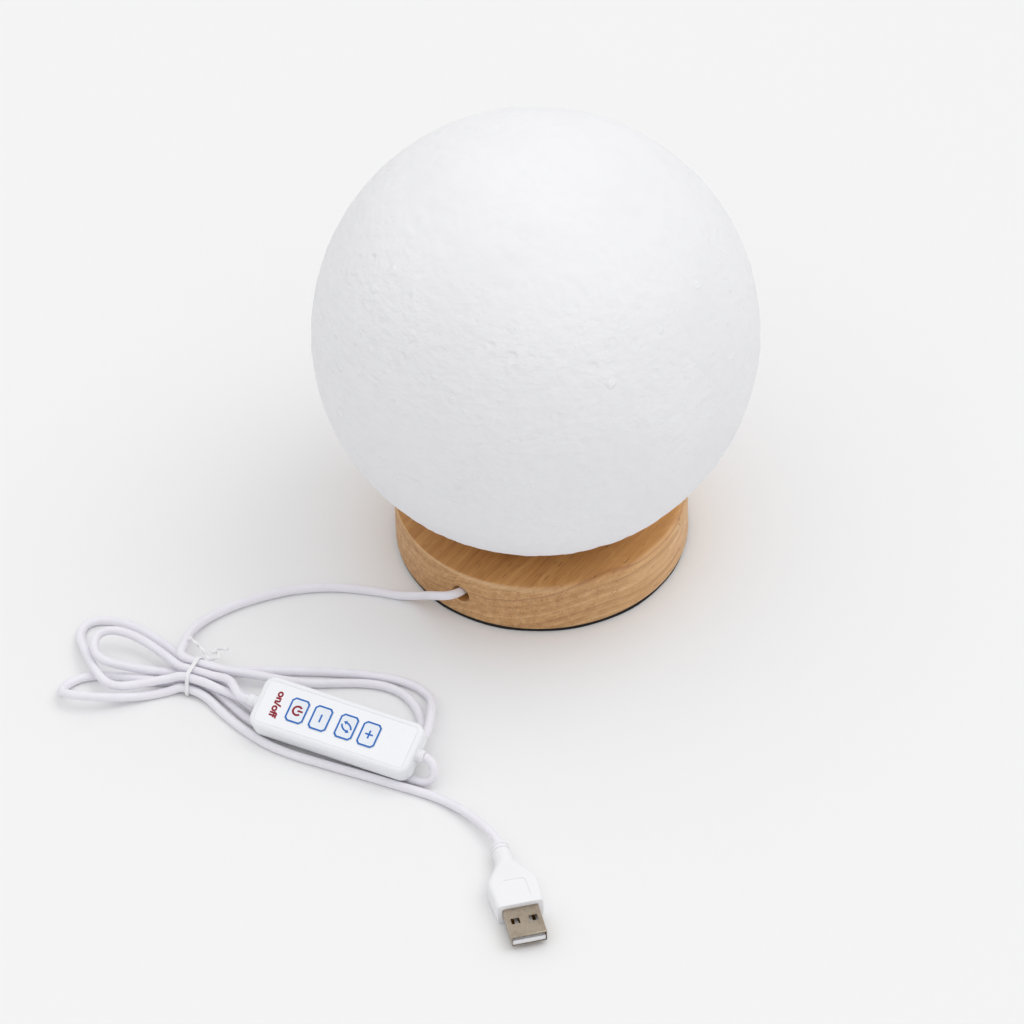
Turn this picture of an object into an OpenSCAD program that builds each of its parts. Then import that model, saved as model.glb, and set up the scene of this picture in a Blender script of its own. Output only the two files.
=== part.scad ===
// Moon lamp: a thin relief globe resting on a round wooden base with a light board under it,
// fed by a white cord with an inline key controller and a bundled, tied USB lead.
// Millimetres, +Z up. The origin is the centre of the base on the floor; the cord leaves the
// base at its front left and lies on the floor to the left and in front of it.

/* [Globe] */
// Outside diameter of the globe
globe_d = 150; // [80:1:300]
// Wall thickness of the globe
globe_wall = 1.8; // [1.2:0.1:3]
// Diameter of the opening the globe sits on
mouth_d = 42; // [30:1:80]
// Width of the lip turned up inside the opening
lip_w = 1.8; // [1:0.1:4]
// Height of that lip
lip_h = 7; // [2:0.5:15]

/* [Base] */
// Diameter of the wooden base
base_d = 100; // [70:1:180]
// Height of the base with its pad
base_h = 20.5; // [15:0.5:40]
// Thickness of the foam pad under it
pad_t = 1.5; // [1:0.1:3]
// Rounding of the upper edge of the wood
base_edge = 1.2; // [0.4:0.1:3]
// Diameter of the pocket under the wood
pocket_d = 80; // [50:1:160]
// Depth of that pocket
pocket_h = 13; // [8:0.5:25]
// Diameter of the hole that the cord leaves by
outlet_d = 6.6; // [4:0.1:10]
// Height of that hole
outlet_z = 10.6; // [6:0.1:20]
// Direction of that hole, degrees from +X
outlet_turn = 235.1; // [0:0.1:360]

/* [Light] */
// Outside diameter of the collar that centres the globe
collar_d = 41; // [28:0.5:79]
// Height of the collar above the wood
collar_h = 8.5; // [5:0.5:15]
// Wall of the collar
collar_wall = 1.6; // [1:0.1:3]
// Diameter of the light board
board_d = 35.6; // [24:0.2:70]
// Number of light chips on the board
chip_count = 6; // [3:1:10]

/* [Controller] */
// Length of the controller
control_l = 59; // [45:0.5:90]
// Width of the controller
control_w = 19.2; // [14:0.2:30]
// Thickness of the controller
control_t = 8.4; // [6:0.1:14]
// Lean of the controller on the cord below it, degrees
control_lean = 22; // [0:1:40]
// Turn of the controller on the floor, degrees
control_turn = -27.2; // [-90:0.1:90]
// Height its keys stand over the label
key_proud = 0.25; // [0.1:0.05:1]
// Travel of a key
key_travel = 0.4; // [0.2:0.05:1]

/* [Cord] */
// Diameter of the cord
cord_d = 3; // [2:0.1:5]
// Facets round the free stretches
cord_sides = 8; // [6:1:12]
// Facets round the bundle
hank_sides = 6; // [6:1:12]
// Rings along each loop of the bundle
loop_rings = 24; // [12:1:48]

/* [Plug] */
// Width of the grip of the plug
grip_w = 15.6; // [12:0.1:20]
// Thickness of the grip
grip_t = 8; // [6:0.1:12]
// Length of the metal shell outside the grip
shell_l = 12.6; // [10:0.1:16]

/* [Output] */
// Sub-part to draw

/* [Hidden] */
$fn = 96;
e = 0.01;

globe_r = globe_d / 2;
base_r = base_d / 2;
mouth_r = mouth_d / 2;
seat_gap = 0.2;
globe_foot = base_h + seat_gap;
globe_z = base_h + sqrt(globe_r * globe_r - mouth_r * mouth_r);
collar_r = collar_d / 2;
collar_top = base_h + collar_h;
collar_floor = base_h + 2;
pocket_top = pad_t + pocket_h;
spigot_r = 13.6;
bore_r = 14;
screw_ring = 16.4;
post_ring = 12.6;
board_z = collar_floor + 3.5;
board_t = 1.2;
chip_ring = 9.2;

// Colours of the solids
wood = [0.66, 0.47, 0.29];
foam = [0.05, 0.05, 0.055];
shade_white = [0.93, 0.93, 0.94];
white = [0.9, 0.9, 0.92];
label_white = [0.88, 0.91, 0.95];
steel = [0.72, 0.71, 0.7];
nickel = [0.73, 0.68, 0.6];
gold = [0.83, 0.66, 0.3];
board_white = [0.85, 0.87, 0.85];
chip_yellow = [0.93, 0.88, 0.62];
black = [0.06, 0.06, 0.07];

// Place of the controller (centre of its underside) and of the plug (root of its shell)
control_at = [-69.7, -99.7, 5.7];
control_r = 4;
control_edge = 1.6;
control_skin = 1.2;
control_split = 3.2;
label_l = 54.8;
label_w = 15;
label_depth = 0.3;
key_x = [-14.2, -5.6, 4, 12.4];
key_l = 6.8;
key_w = 9;
key_cut = 1.4;
gland_z = control_t / 2;
plug_at = [-12.06, -181.74, 4.1];
plug_turn = -78;
grip_bulge = 0.6;
shell_w = 12;
shell_t = 4.5;
shell_skin = 0.3;

// Tie: where it holds the bundle, which way it faces, how far it grips, how far it is lifted
tie_at = [-118, -68];
tie_turn = -25;
tie_grip = 3;
tie_lift = 0.8;
floor_z = cord_d / 2;
upper_z = 5.15;
step_z = upper_z - floor_z;
// Places of the seven strands in the tie: [across, height before the lift]
low_1 = [5.7, floor_z];
low_2 = [1.9, floor_z];
low_3 = [-1.9, floor_z];
low_4 = [-5.7, floor_z];
top_1 = [3.8, upper_z];
top_2 = [0, upper_z];
top_3 = [-3.8, upper_z];

// Loops of the bundle:
// [side, first place, last place, reach, width, lean, far lean, skew, bulge, twist of the sides]
loop_far_right = [1, top_1, top_3, 76.1, 16.4, 4.2, 4.2, 0.7, 5.7, -2.1];
loop_outer_left = [-1, low_1, top_3, 40.6, 19.8, -5.8, 5.9, 5.8, -3, 3.5];
loop_back_right = [1, low_1, low_2, 80, 24.1, 33.6, -37.4, 35.8, 15.7, 5.9];
loop_inner_left = [-1, top_2, low_2, 33.6, 12.7, -2.8, 0.3, -3.7, -2.6, -0.3];
loop_front_left = [-1, low_3, low_4, 36.6, 8.3, -22.5, 5.6, 0.9, 0.3, -0.4];

// Routes of the free stretches: round-number points on the centreline of the cord
base_route = [
    [-17.2, -24.6, 9.2], [-19.5, -27.9, 9.2], [-22, -31.6, 9.7], [-24.4, -35.1, 10.4],
    [-26.8, -38.6, 11.2]
];
lead_route = [
    [-26.8, -38.6, 11.2], [-27.28, -39.3, 11.36], [-28.5, -40.9, 12], [-30.4, -42.8, 12.8],
    [-33, -43.7, 13],
    [-35.4, -42.8, 12.2], [-37.4, -40.8, 10.4], [-39.2, -38.2, 8], [-41.6, -35.4, 5.2],
    [-44.9, -33, 3], [-49.2, -31.3, 1.7], [-55, -29.4, 1.5], [-62, -27.7, 1.5],
    [-70, -26.3, 1.5], [-79, -26.1, 1.5], [-88, -27.3, 1.5], [-97, -29.9, 1.5],
    [-105, -33.2, 1.5], [-112, -37.4, 1.6], [-117, -41.8, 2.1], [-120, -46.6, 3.1],
    [-121.4, -51.6, 4.5], [-122.2, -55.6, 5.7], [-123.1, -58.6, 6.5], [-123.3, -60.3, 6.8],
    [-122.7, -61.5, 6.8], [-121.6, -62.15, 6.4],
    tie_point(-tie_grip - 0.6, top_1.x, upper_z + tie_lift),
    tie_point(-tie_grip, top_1.x, upper_z + tie_lift)
];
tail_route = [
    tie_point(tie_grip, 0, upper_z + tie_lift), tie_point(6.4, 0, upper_z + tie_lift),
    tie_point(9.4, -0.2, 6.6),
    tie_point(12.2, -1.1, 7.7), tie_point(14.6, -2.8, 8.7), tie_point(16.8, -5.1, 9.3),
    tie_point(18.9, -7.2, 9.59), tie_point(20.9, -8.5, 9.59), tie_point(23.81, -8.61, 9.59)
];
return_route = [
    [-41.94, -115.74, 9.59], [-41.48, -115.98, 9.59], [-40.8, -116.3, 9.5], [-39.6, -117.4, 8.7], [-38.9, -118.9, 7],
    [-39.2, -120.1, 5], [-40.7, -120.5, 3.2], [-43, -119.7, 2], [-45.6, -118.3, 1.5],
    [-55.3, -113.3, 1.5], [-62.4, -109.6, 1.5], [-69.5, -106, 1.5], [-76.7, -102.3, 1.5],
    [-83.8, -98.6, 1.5], [-90.9, -95, 1.5], [-96.4, -91.2, 1.5], [-100.3, -87.8, 1.5],
    [-103.5, -84.2, 1.5], [-106.6, -80.1, 1.5], [-109.4, -76.5, 1.6], [-112.3, -73.5, 2.1],
    tie_point(tie_grip + 0.8, low_3.x, floor_z + tie_lift),
    tie_point(tie_grip, low_3.x, floor_z + tie_lift)
];
usb_route = [
    tie_point(tie_grip, low_4.x, floor_z + tie_lift),
    tie_point(tie_grip + 0.8, low_4.x, floor_z + tie_lift), [-114.2, -77.4, 2], [-111.4, -80.9, 1.6],
    [-108.4, -84.9, 1.5], [-102.4, -91.8, 1.5], [-95.3, -98.5, 1.5], [-87.1, -103.8, 1.5],
    [-78, -108.2, 1.5], [-69, -112.3, 1.5], [-60, -116.3, 1.5], [-51, -120.5, 1.5],
    [-43, -124.2, 1.5], [-37.2, -127.6, 1.7], [-31.8, -132, 2.2], [-27.2, -136.8, 2.9],
    [-23.5, -141.6, 3.5], [-20.7, -146, 3.9], [-18.92, -149.44, 4.1], [-18.3, -152.37, 4.1]
];
wire_route = [
    [-17.2, -24.6, 9.2], [-15.4, -22, 9.3], [-11, -15.8, 9.8], [-6, -8.8, 11.4],
    [-2.4, -3.6, 14.4], [-1, -1.4, 18], [-1, -1.4, 22], [-1, -1.4, board_z]
];
wire_over = [
    [0, 0, 1], [0, 0, 1], [-0.1, -0.14, 0.98], [-0.28, -0.4, 0.87], [-0.45, -0.65, 0.6],
    [-0.57, -0.82, 0.1], [-0.57, -0.82, 0], [-0.57, -0.82, 0]
];
tail_wire = [
    [-120.4, -53.4, 7.4], [-117.8, -56.8, 7.9], [-115.6, -60, 7.8], [-114.3, -62.4, 7.1],
    [-113, -63.9, 7.3], [-111.2, -64.2, 7.7], [-110.1, -63.1, 8], [-110.6, -61.7, 8.2],
    [-112, -61.4, 8], [-112.6, -60.3, 7.5], [-111.4, -59.4, 7], [-107, -57.9, 6]
];

// ---- Swept cord -------------------------------------------------------------------------

function unit(v) = v / norm(v);

function tangents(p) = [
    for (i = [0 : len(p) - 1]) unit(p[min(i + 1, len(p) - 1)] - p[max(i - 1, 0)])
];

// Carries one side direction along the tangents without twisting it
function carried(t, s, i = 0) =
    i == len(t) ? [] : let (n = unit(s - t[i] * (s * t[i]))) concat([n], carried(t, n, i + 1));

function ring_points(p, r, sides) = let (
    t = tangents(p),
    s = carried(t, abs(t[0].z) > 0.8 ? [1, 0, 0] : cross(t[0], [0, 0, 1]))
) [
    for (i = [0 : len(p) - 1], k = [0 : sides - 1]) let (a = 360 * (k + 0.5) / sides)
        p[i] + r * (cos(a) * s[i] + sin(a) * cross(s[i], t[i]))
];

function ring_faces(rings, sides) = concat(
    [[for (k = [0 : sides - 1]) k]],
    [for (i = [0 : rings - 2], k = [0 : sides - 1]) let (
        a = i * sides + k,
        b = i * sides + (k + 1) % sides
    ) each [[a, a + sides, b], [b, a + sides, b + sides]]],
    [[for (k = [sides - 1 : -1 : 0]) (rings - 1) * sides + k]]
);

module swept(p, r, sides) {
    polyhedron(ring_points(p, r, sides), ring_faces(len(p), sides), convexity = 10);
}

// ---- Bundle -----------------------------------------------------------------------------

function ramp(t, a, b) = let (x = min(max((t - a) / (b - a), 0), 1)) x * x * (3 - 2 * x);
function bump(t, c, w) = abs(t - c) < w ? (1 + cos(180 * (t - c) / w)) / 2 : 0;
function rise(t) = (1 - cos(360 * t)) / 2;

function tie_point(a, v, z) = [
    tie_at.x + a * cos(tie_turn) - v * sin(tie_turn),
    tie_at.y + a * sin(tie_turn) + v * cos(tie_turn),
    z
];

// One loop of the bundle: out of the tie at t = 0, back into it at t = 1
function loop_point(k, t, z) = let (
    al = rise(t),
    s = sin(360 * t) * al,
    s2 = sin(720 * t) * al,
    v = k[1].x + (k[2].x - k[1].x) * ramp(t, 0.25, 0.75) + k[4] * s + k[5] * al + k[6] * al * al
        + k[9] * s2,
    a = k[0] * (tie_grip + k[3] * al + k[7] * s + k[8] * s2)
) tie_point(a, v, z + tie_lift * (1 - ramp(al, 0, 0.12)));

// Heights along each loop
function z_far_right(t) = upper_z - step_z * (ramp(t, 0.12, 0.24) - ramp(t, 0.8, 0.845));
function z_outer_left(t) = floor_z + step_z * ramp(t, 0.44, 0.57);
function z_back_right(t) = floor_z + 3.7 * (ramp(t, 0.3, 0.4) - ramp(t, 0.7, 0.82));
function z_inner_left(t) = upper_z + 3.7 * bump(t, 0.53, 0.35) - step_z * ramp(t, 0.65, 0.88);
function z_front_left(t) = floor_z + 4.4 * bump(t, 0.65, 0.21);

function reversed(p) = [for (i = [len(p) - 1 : -1 : 0]) p[i]];
function steps(n) = [for (i = [0 : n]) i / n];

// Lamp side of the cord: four loops, each next to its neighbour through the tie
function lamp_hank_route(n) = concat(
    [tie_point(-tie_grip, top_1.x, upper_z + tie_lift)],
    [for (t = steps(n)) loop_point(loop_far_right, t, z_far_right(t))],
    reversed([for (t = steps(n)) loop_point(loop_outer_left, t, z_outer_left(t))]),
    [for (t = steps(n)) loop_point(loop_back_right, t, z_back_right(t))],
    reversed([for (t = steps(n)) loop_point(loop_inner_left, t, z_inner_left(t))]),
    [tie_point(tie_grip, top_2.x, upper_z + tie_lift)]
);

// Plug side of the cord: one loop
function usb_hank_route(n) = concat(
    [tie_point(tie_grip, low_3.x, floor_z + tie_lift)],
    [for (t = steps(n)) loop_point(loop_front_left, t, z_front_left(t))],
    [tie_point(tie_grip, low_4.x, floor_z + tie_lift)]
);

// Least gap between the surface of a tube and itself, measured at close points of its route
function close_points(p, step) = [
    for (i = [0 : len(p) - 2]) let (n = max(1, ceil(norm(p[i + 1] - p[i]) / step)))
        for (j = [0 : n - 1]) p[i] + (p[i + 1] - p[i]) * j / n
];

function least_gap(p, apart) = min([
    for (i = [0 : len(p) - 1 - apart]) for (j = [i + apart : len(p) - 1]) norm(p[i] - p[j])
]) - cord_d;

// ---- Shared shapes ----------------------------------------------------------------------

module at_turn(r, a) {
    rotate([0, 0, a]) translate([r, 0, 0]) children();
}

module tube(ro, ri, h) {
    difference() {
        cylinder(r = ro, h = h);
        translate([0, 0, -e]) cylinder(r = ri, h = h + 2 * e);
    }
}

// Plan of a rounded rectangle, made of squares and circles
module rounded_plan(l, w, r) {
    square([l - 2 * r, w], center = true);
    square([l, w - 2 * r], center = true);
    for (x = [-1, 1], y = [-1, 1]) translate([x * (l / 2 - r), y * (w / 2 - r)]) circle(r);
}

// Block rounded in plan and along its edges: three crossed profiles
module rounded_block(l, w, t, corner, edge) {
    intersection() {
        linear_extrude(t) rounded_plan(l, w, corner);
        translate([0, w / 2, t / 2]) rotate([90, 0, 0]) linear_extrude(w) rounded_plan(l, t, edge);
        translate([-l / 2, 0, t / 2]) rotate([90, 0, 90]) linear_extrude(l) rounded_plan(w, t, edge);
    }
}

module pan_screw(head_r, head_h, shaft_r, shaft_l) {
    difference() {
        cylinder(r = head_r, h = head_h);
        for (a = [0, 90]) rotate([0, 0, a])
            translate([-head_r * 0.6, -0.25, head_h - 0.6]) cube([head_r * 1.2, 0.5, 1]);
    }
    translate([0, 0, -shaft_l]) cylinder(r = shaft_r, h = shaft_l + e);
}

// ---- Base and light ---------------------------------------------------------------------

module base_profile() {
    square([base_r - base_edge, base_h - pad_t]);
    square([base_r, base_h - pad_t - base_edge]);
    translate([base_r - base_edge, base_h - pad_t - base_edge]) circle(base_edge);
}

// Turned wooden disc with a pocket below, a bore for the light and the cord outlet
module base_block() {
    color(wood) difference() {
        translate([0, 0, pad_t]) rotate_extrude($fn = 180) base_profile();
        translate([0, 0, pad_t - e]) cylinder(d = pocket_d, h = pocket_h + e, $fn = 120);
        translate([0, 0, pad_t]) cylinder(r = bore_r, h = base_h);
        translate([0, 0, outlet_z]) rotate([0, 90, outlet_turn])
            translate([0, 0, pocket_d / 2 - 5]) cylinder(d = outlet_d, h = 20, $fn = 48);
        for (a = [30, 150, 270]) at_turn(screw_ring, a)
            translate([0, 0, base_h - 5]) cylinder(r = 1.4, h = 6, $fn = 24);
    }
}

module foot_pad() {
    color(foam) cylinder(r = base_r - 0.6, h = pad_t, $fn = 120);
}

// White cup that centres the globe and carries the light board
module lamp_collar() {
    inner_r = collar_r - collar_wall;
    color(white) difference() {
        union() {
            rotate_extrude() polygon([
                [6, base_h], [6, collar_floor], [inner_r, collar_floor], [inner_r, collar_top],
                [collar_r, collar_top], [collar_r, base_h], [spigot_r, base_h],
                [spigot_r, pocket_top], [spigot_r - 1.8, pocket_top], [spigot_r - 1.8, base_h]
            ]);
            for (a = [90, 210, 330]) at_turn(post_ring, a)
                translate([0, 0, base_h + 1]) cylinder(r = 2.2, h = board_z - base_h - 1, $fn = 24);
            for (a = [0, 120, 240]) at_turn(collar_r, a)
                translate([-0.8, -1, base_h + 2.5]) cube([1.05, 2, 4.5]);
        }
        for (a = [90, 210, 330]) at_turn(post_ring, a)
            translate([0, 0, base_h + 1.5]) cylinder(r = 1.05, h = 10, $fn = 24);
        for (a = [30, 150, 270]) at_turn(screw_ring, a)
            translate([0, 0, base_h - 1]) cylinder(r = 1.5, h = 10, $fn = 24);
    }
}

module collar_screws() {
    color(steel) for (a = [30, 150, 270]) at_turn(screw_ring, a)
        translate([0, 0, collar_floor]) pan_screw(2.1, 1.5, 1.3, 6, $fn = 24);
}

module light_board() {
    color(board_white) translate([0, 0, board_z]) difference() {
        cylinder(d = board_d, h = board_t);
        translate([0, 0, -e]) cylinder(r = 3, h = 3, $fn = 32);
        for (a = [90, 210, 330]) at_turn(post_ring, a)
            translate([0, 0, -e]) cylinder(r = 1.1, h = 3, $fn = 24);
    }
}

module light_chip() {
    difference() {
        translate([-2.5, -2.5, 0]) cube([5, 5, 1.5]);
        translate([0, 0, 1.1]) cylinder(r = 1.9, h = 1, $fn = 24);
    }
}

module light_chips() {
    color(chip_yellow) for (i = [0 : chip_count - 1]) at_turn(chip_ring, i * 360 / chip_count)
        translate([0, 0, board_z + board_t]) light_chip();
}

module board_resistors() {
    color(black) for (a = [30, 150, 270]) at_turn(15, a)
        translate([-0.8, -1.6, board_z + board_t]) cube([1.6, 3.2, 0.6]);
}

module board_screws() {
    color(steel) for (a = [90, 210, 330]) at_turn(post_ring, a)
        translate([0, 0, board_z + board_t]) pan_screw(1.8, 1.2, 0.95, 4, $fn = 24);
}

// Four cores from the end of the cord up to the underside of the board
module board_wires() {
    color(white) for (x = [-0.55, 0.55], y = [-0.55, 0.55]) swept([
        for (i = [0 : len(wire_route) - 1])
            wire_route[i] + (i < 2 ? 1 : 1.8) * (x * [0.82, -0.57, 0] + y * wire_over[i])
    ], 0.42, 6);
}

// Cable tie round the cord inside the pocket: it stops a pull on the cord
module strain_clip() {
    color(white) translate([-19.2, -27.5, 9.2]) rotate([0, 90, outlet_turn]) difference() {
        union() {
            cylinder(r = 2.6, h = 2.5, $fn = 32);
            translate([-4.4, -1.9, 0]) cube([2.6, 3.8, 2.5]);
        }
        translate([0, 0, -1]) cylinder(r = cord_d / 2 + 0.15, h = 5, $fn = 32);
    }
}

// Thin globe: turned shell with a lip round its mouth
module moon_shade() {
    color(shade_white) rotate_extrude($fn = 240) intersection() {
        union() {
            translate([0, globe_z]) difference() {
                circle(globe_r, $fn = 240);
                circle(globe_r - globe_wall, $fn = 240);
            }
            intersection() {
                translate([0, globe_z]) circle(globe_r, $fn = 240);
                translate([mouth_r, globe_foot]) square([lip_w, lip_h]);
            }
        }
        translate([0, globe_foot]) square([globe_r + 1, globe_d]);
        union() {
            translate([mouth_r, 0]) square([globe_r, globe_d * 2]);
            translate([0, globe_z]) square([globe_r, globe_d]);
        }
    }
}

// ---- Cord ---------------------------------------------------------------------------------

module base_lead() {
    color(white) swept(base_route, cord_d / 2, cord_sides);
}

module lamp_lead() {
    color(white) swept(lead_route, cord_d / 2, cord_sides);
}

module lamp_hank() {
    route = lamp_hank_route(loop_rings);
    echo(lamp_hank_gap = least_gap(close_points(route, 1.2), 9));
    color(white) swept(route, cord_d / 2, hank_sides);
}

module lamp_tail() {
    color(white) swept(tail_route, cord_d / 2, cord_sides);
}

module usb_return() {
    color(white) swept(return_route, cord_d / 2, cord_sides);
}

module usb_hank() {
    route = usb_hank_route(loop_rings);
    echo(usb_hank_gap = least_gap(close_points(route, 1.2), 9));
    color(white) swept(route, cord_d / 2, hank_sides);
}

module usb_lead() {
    color(white) swept(usb_route, cord_d / 2, cord_sides);
}

module bundle_outline(r) {
    hull() for (s = [low_1, low_4, top_1, top_3]) translate([s.x, s.y + tie_lift]) circle(r, $fn = 32);
}

// Flat band round the bundle
module twist_tie() {
    color(white) translate([tie_at.x, tie_at.y, 0]) rotate([90, 0, tie_turn + 90])
        translate([0, 0, -1.1]) linear_extrude(2.2) difference() {
            bundle_outline(cord_d / 2 + 0.65);
            bundle_outline(cord_d / 2 + 0.2);
        }
}

// Twisted ends of the tie
module tie_tails() {
    color(white) swept(tail_wire, 0.5, 6);
}

// ---- Controller ---------------------------------------------------------------------------

module on_controller() {
    translate(control_at) rotate([control_lean, 0, control_turn]) children();
}

module key_plan(grow) {
    l = key_l / 2 + grow;
    w = key_w / 2 + grow;
    polygon([
        [l - key_cut, -w], [l, -w + key_cut], [l, w - key_cut], [l - key_cut, w],
        [-l + key_cut, w], [-l, w - key_cut], [-l, -w + key_cut], [-l + key_cut, -w]
    ]);
}

module control_inside() {
    translate([0, 0, control_skin]) rounded_block(
        control_l - 2 * control_skin, control_w - 2 * control_skin,
        control_t - 2 * control_skin - label_depth, control_r - control_skin, 0.8
    );
}

module gland_holes() {
    translate([-control_l, 0, gland_z]) rotate([0, 90, 0])
        cylinder(r = 2.3, h = 2 * control_l, $fn = 32);
}

module control_top() {
    color(white) on_controller() difference() {
        rounded_block(control_l, control_w, control_t, control_r, control_edge);
        translate([-control_l, -control_w, -1]) cube([2 * control_l, 2 * control_w, control_split + 1.1]);
        control_inside();
        gland_holes();
        translate([0, 0, control_t - label_depth]) linear_extrude(1) rounded_plan(55.2, 15.4, 1.5);
        for (x = key_x) translate([x, 0, 3]) linear_extrude(9) key_plan(0.15);
    }
}

module control_bottom() {
    color(white) on_controller() {
        difference() {
            rounded_block(control_l, control_w, control_t, control_r, control_edge);
            translate([-control_l, -control_w, control_split]) cube([2 * control_l, 2 * control_w, 9]);
            control_inside();
            gland_holes();
        }
        for (x = [-22, 22], y = [-5.5, 5.5]) translate([x, y, control_skin - e])
            cylinder(r = 1.4, h = 0.6 + e, $fn = 24);
    }
}

module control_label() {
    color(label_white) on_controller() translate([0, 0, control_t - label_depth])
        linear_extrude(0.25) difference() {
            rounded_plan(label_l, label_w, 1.3);
            for (x = key_x) translate([x, 0]) key_plan(0.15);
        }
}

module control_board() {
    color([0.1, 0.32, 0.2]) on_controller() translate([-26, -6.9, 1.8]) cube([52, 13.8, 0.8]);
}

module control_switches() {
    color(black) on_controller() for (x = key_x) translate([x, 0, 2.6]) {
        translate([-2.2, -2.2, 0]) cube([4.4, 4.4, 1.6]);
        cylinder(r = 1.1, h = 2.1, $fn = 24);
    }
}

module control_chips() {
    color(black) on_controller() {
        translate([18.2, -3, 2.6]) cube([5, 6, 1.5]);
        translate([-22.5, -1.6, 2.6]) cube([1.8, 3.2, 0.8]);
        translate([-22.5, 3.4, 2.6]) cube([1.8, 1.2, 0.7]);
    }
}

// Cord bush: a collar inside the wall and a short tapered nose outside it
module gland(nose) {
    difference() {
        union() {
            translate([0, 0, -2.4]) cylinder(r = 2.5, h = 0.9, $fn = 32);
            translate([0, 0, -1.6]) cylinder(r = 2.15, h = 1.7, $fn = 32);
            cylinder(r1 = 2.5, r2 = 2, h = nose, $fn = 32);
        }
        for (i = [1 : 2]) translate([0, 0, i * nose / 3 - 0.2]) tube(4, 2, 0.4, $fn = 32);
    }
}

module gland_in() {
    color(white) on_controller() translate([-control_l / 2, 0, gland_z]) rotate([0, -90, 0]) gland(3.8);
}

module gland_out() {
    color(white) on_controller() translate([control_l / 2, 0, gland_z]) rotate([0, 90, 0]) gland(2.5);
}

// Key: cap through the label, a flange that holds it in, a stem over its switch
module key(x) {
    color(label_white) on_controller() translate([x, 0, 0]) {
        translate([0, 0, 6.3]) linear_extrude(control_t - 0.05 + key_proud - 6.3) key_plan(0);
        translate([0, 0, 6.1]) linear_extrude(0.5) key_plan(0.5);
        translate([0, 0, 4.7 + key_travel + 0.05]) cylinder(r = 1.3, h = 1.2, $fn = 24);
    }
}

module key_power() {
    key(key_x[0]);
}

module key_minus() {
    key(key_x[1]);
}

module key_cycle() {
    key(key_x[2]);
}

module key_plus() {
    key(key_x[3]);
}

// ---- Plug -----------------------------------------------------------------------------------

module on_plug() {
    translate(plug_at) rotate([0, 0, plug_turn]) children();
}

module grip_plan() {
    half = grip_w / 2;
    flare = [
        [0, half], [-10.5, half + grip_bulge], [-12.4, half + grip_bulge - 0.3], [-16.8, half - 2],
        [-21, 3.3], [-23, 3.1]
    ];
    polygon([for (p = flare) p, for (i = [len(flare) - 1 : -1 : 0]) [flare[i].x, -flare[i].y]]);
}

// Moulded grip: flared body, round neck with two grooves, a sunk panel on top
module plug_grip() {
    color(white) on_plug() difference() {
        union() {
            intersection() {
                translate([0, 0, -grip_t / 2]) linear_extrude(grip_t) grip_plan();
                translate([-25, 0, 0]) rotate([90, 0, 90]) linear_extrude(25)
                    rounded_plan(grip_w + 2 * grip_bulge, grip_t, 1.6);
                translate([0, grip_w, 0]) rotate([90, 0, 0]) linear_extrude(2 * grip_w) polygon([
                    [0, -grip_t / 2], [0, grip_t / 2], [-14, grip_t / 2], [-19, 3.3], [-23, 3.1],
                    [-23, -3.1], [-19, -3.3], [-14, -grip_t / 2]
                ]);
            }
            translate([-30, 0, 0]) rotate([0, 90, 0]) cylinder(r = 3.1, h = 10, $fn = 48);
        }
        for (x = [-28.9, -27.3]) translate([x, 0, 0]) rotate([0, 90, 0]) tube(4, 2.7, 0.5, $fn = 48);
        translate([-6.2, 0, grip_t / 2 - 0.3]) linear_extrude(1) rounded_plan(10, 8.6, 2);
        translate([-3, 0, 0]) rotate([90, 0, 90]) linear_extrude(4)
            square([shell_w + 0.1, shell_t + 0.1], center = true);
    }
}

module shell_plan(grow) {
    rounded_plan(shell_w + 2 * grow, shell_t + 2 * grow, 0.6 + grow);
}

// Folded metal shell with two windows on each broad side and a seam below
module plug_shell() {
    color(nickel) on_plug() difference() {
        translate([-2.9, 0, 0]) rotate([90, 0, 90]) linear_extrude(shell_l + 2.9) shell_plan(0);
        translate([-2.4, 0, 0]) rotate([90, 0, 90]) linear_extrude(shell_l + 9) shell_plan(-shell_skin);
        for (y = [-3, 3]) translate([4.4, y - 1.25, -5]) cube([2.6, 2.5, 10]);
        translate([0.6, -0.1, -5]) cube([20, 0.2, 4]);
    }
}

module plug_tongue() {
    color(white) on_plug() {
        translate([-2.3, -5.5, -1.8]) cube([shell_l + 1.9, 11, 1.8]);
        translate([-2.3, -5.5, -1.8]) cube([3, 11, 3.7]);
    }
}

module plug_contacts() {
    color(gold) on_plug() for (y = [-3.5, -1.25, 1.25, 3.5]) translate([1.5, y - 0.5, 0])
        cube([8.6, 1, 0.2]);
}

// ---- Selection ------------------------------------------------------------------------------

base_block();
foot_pad();
lamp_collar();
collar_screws();
light_board();
light_chips();
board_resistors();
board_screws();
board_wires();
strain_clip();
base_lead();
moon_shade();
lamp_lead();
lamp_hank();
lamp_tail();
control_top();
control_bottom();
control_label();
control_board();
control_switches();
control_chips();
gland_in();
gland_out();
key_power();
key_minus();
key_cycle();
key_plus();
usb_return();
usb_hank();
usb_lead();
twist_tie();
tie_tails();
plug_grip();
plug_shell();
plug_tongue();
plug_contacts();
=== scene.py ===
"""Looks of the moon lamp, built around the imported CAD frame.

Sizes in the classes are millimetres, as in the part's source. Meshes are made in metres, in
the frame of the CAD: the origin is the centre of the wooden base on the floor, +Z is up.
"""

import logging
import math
from dataclasses import dataclass, field
from enum import Enum
from typing import Callable, Sequence

import bpy
import numpy as np
from mathutils import Matrix, Vector
from mathutils.geometry import tessellate_polygon


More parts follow.
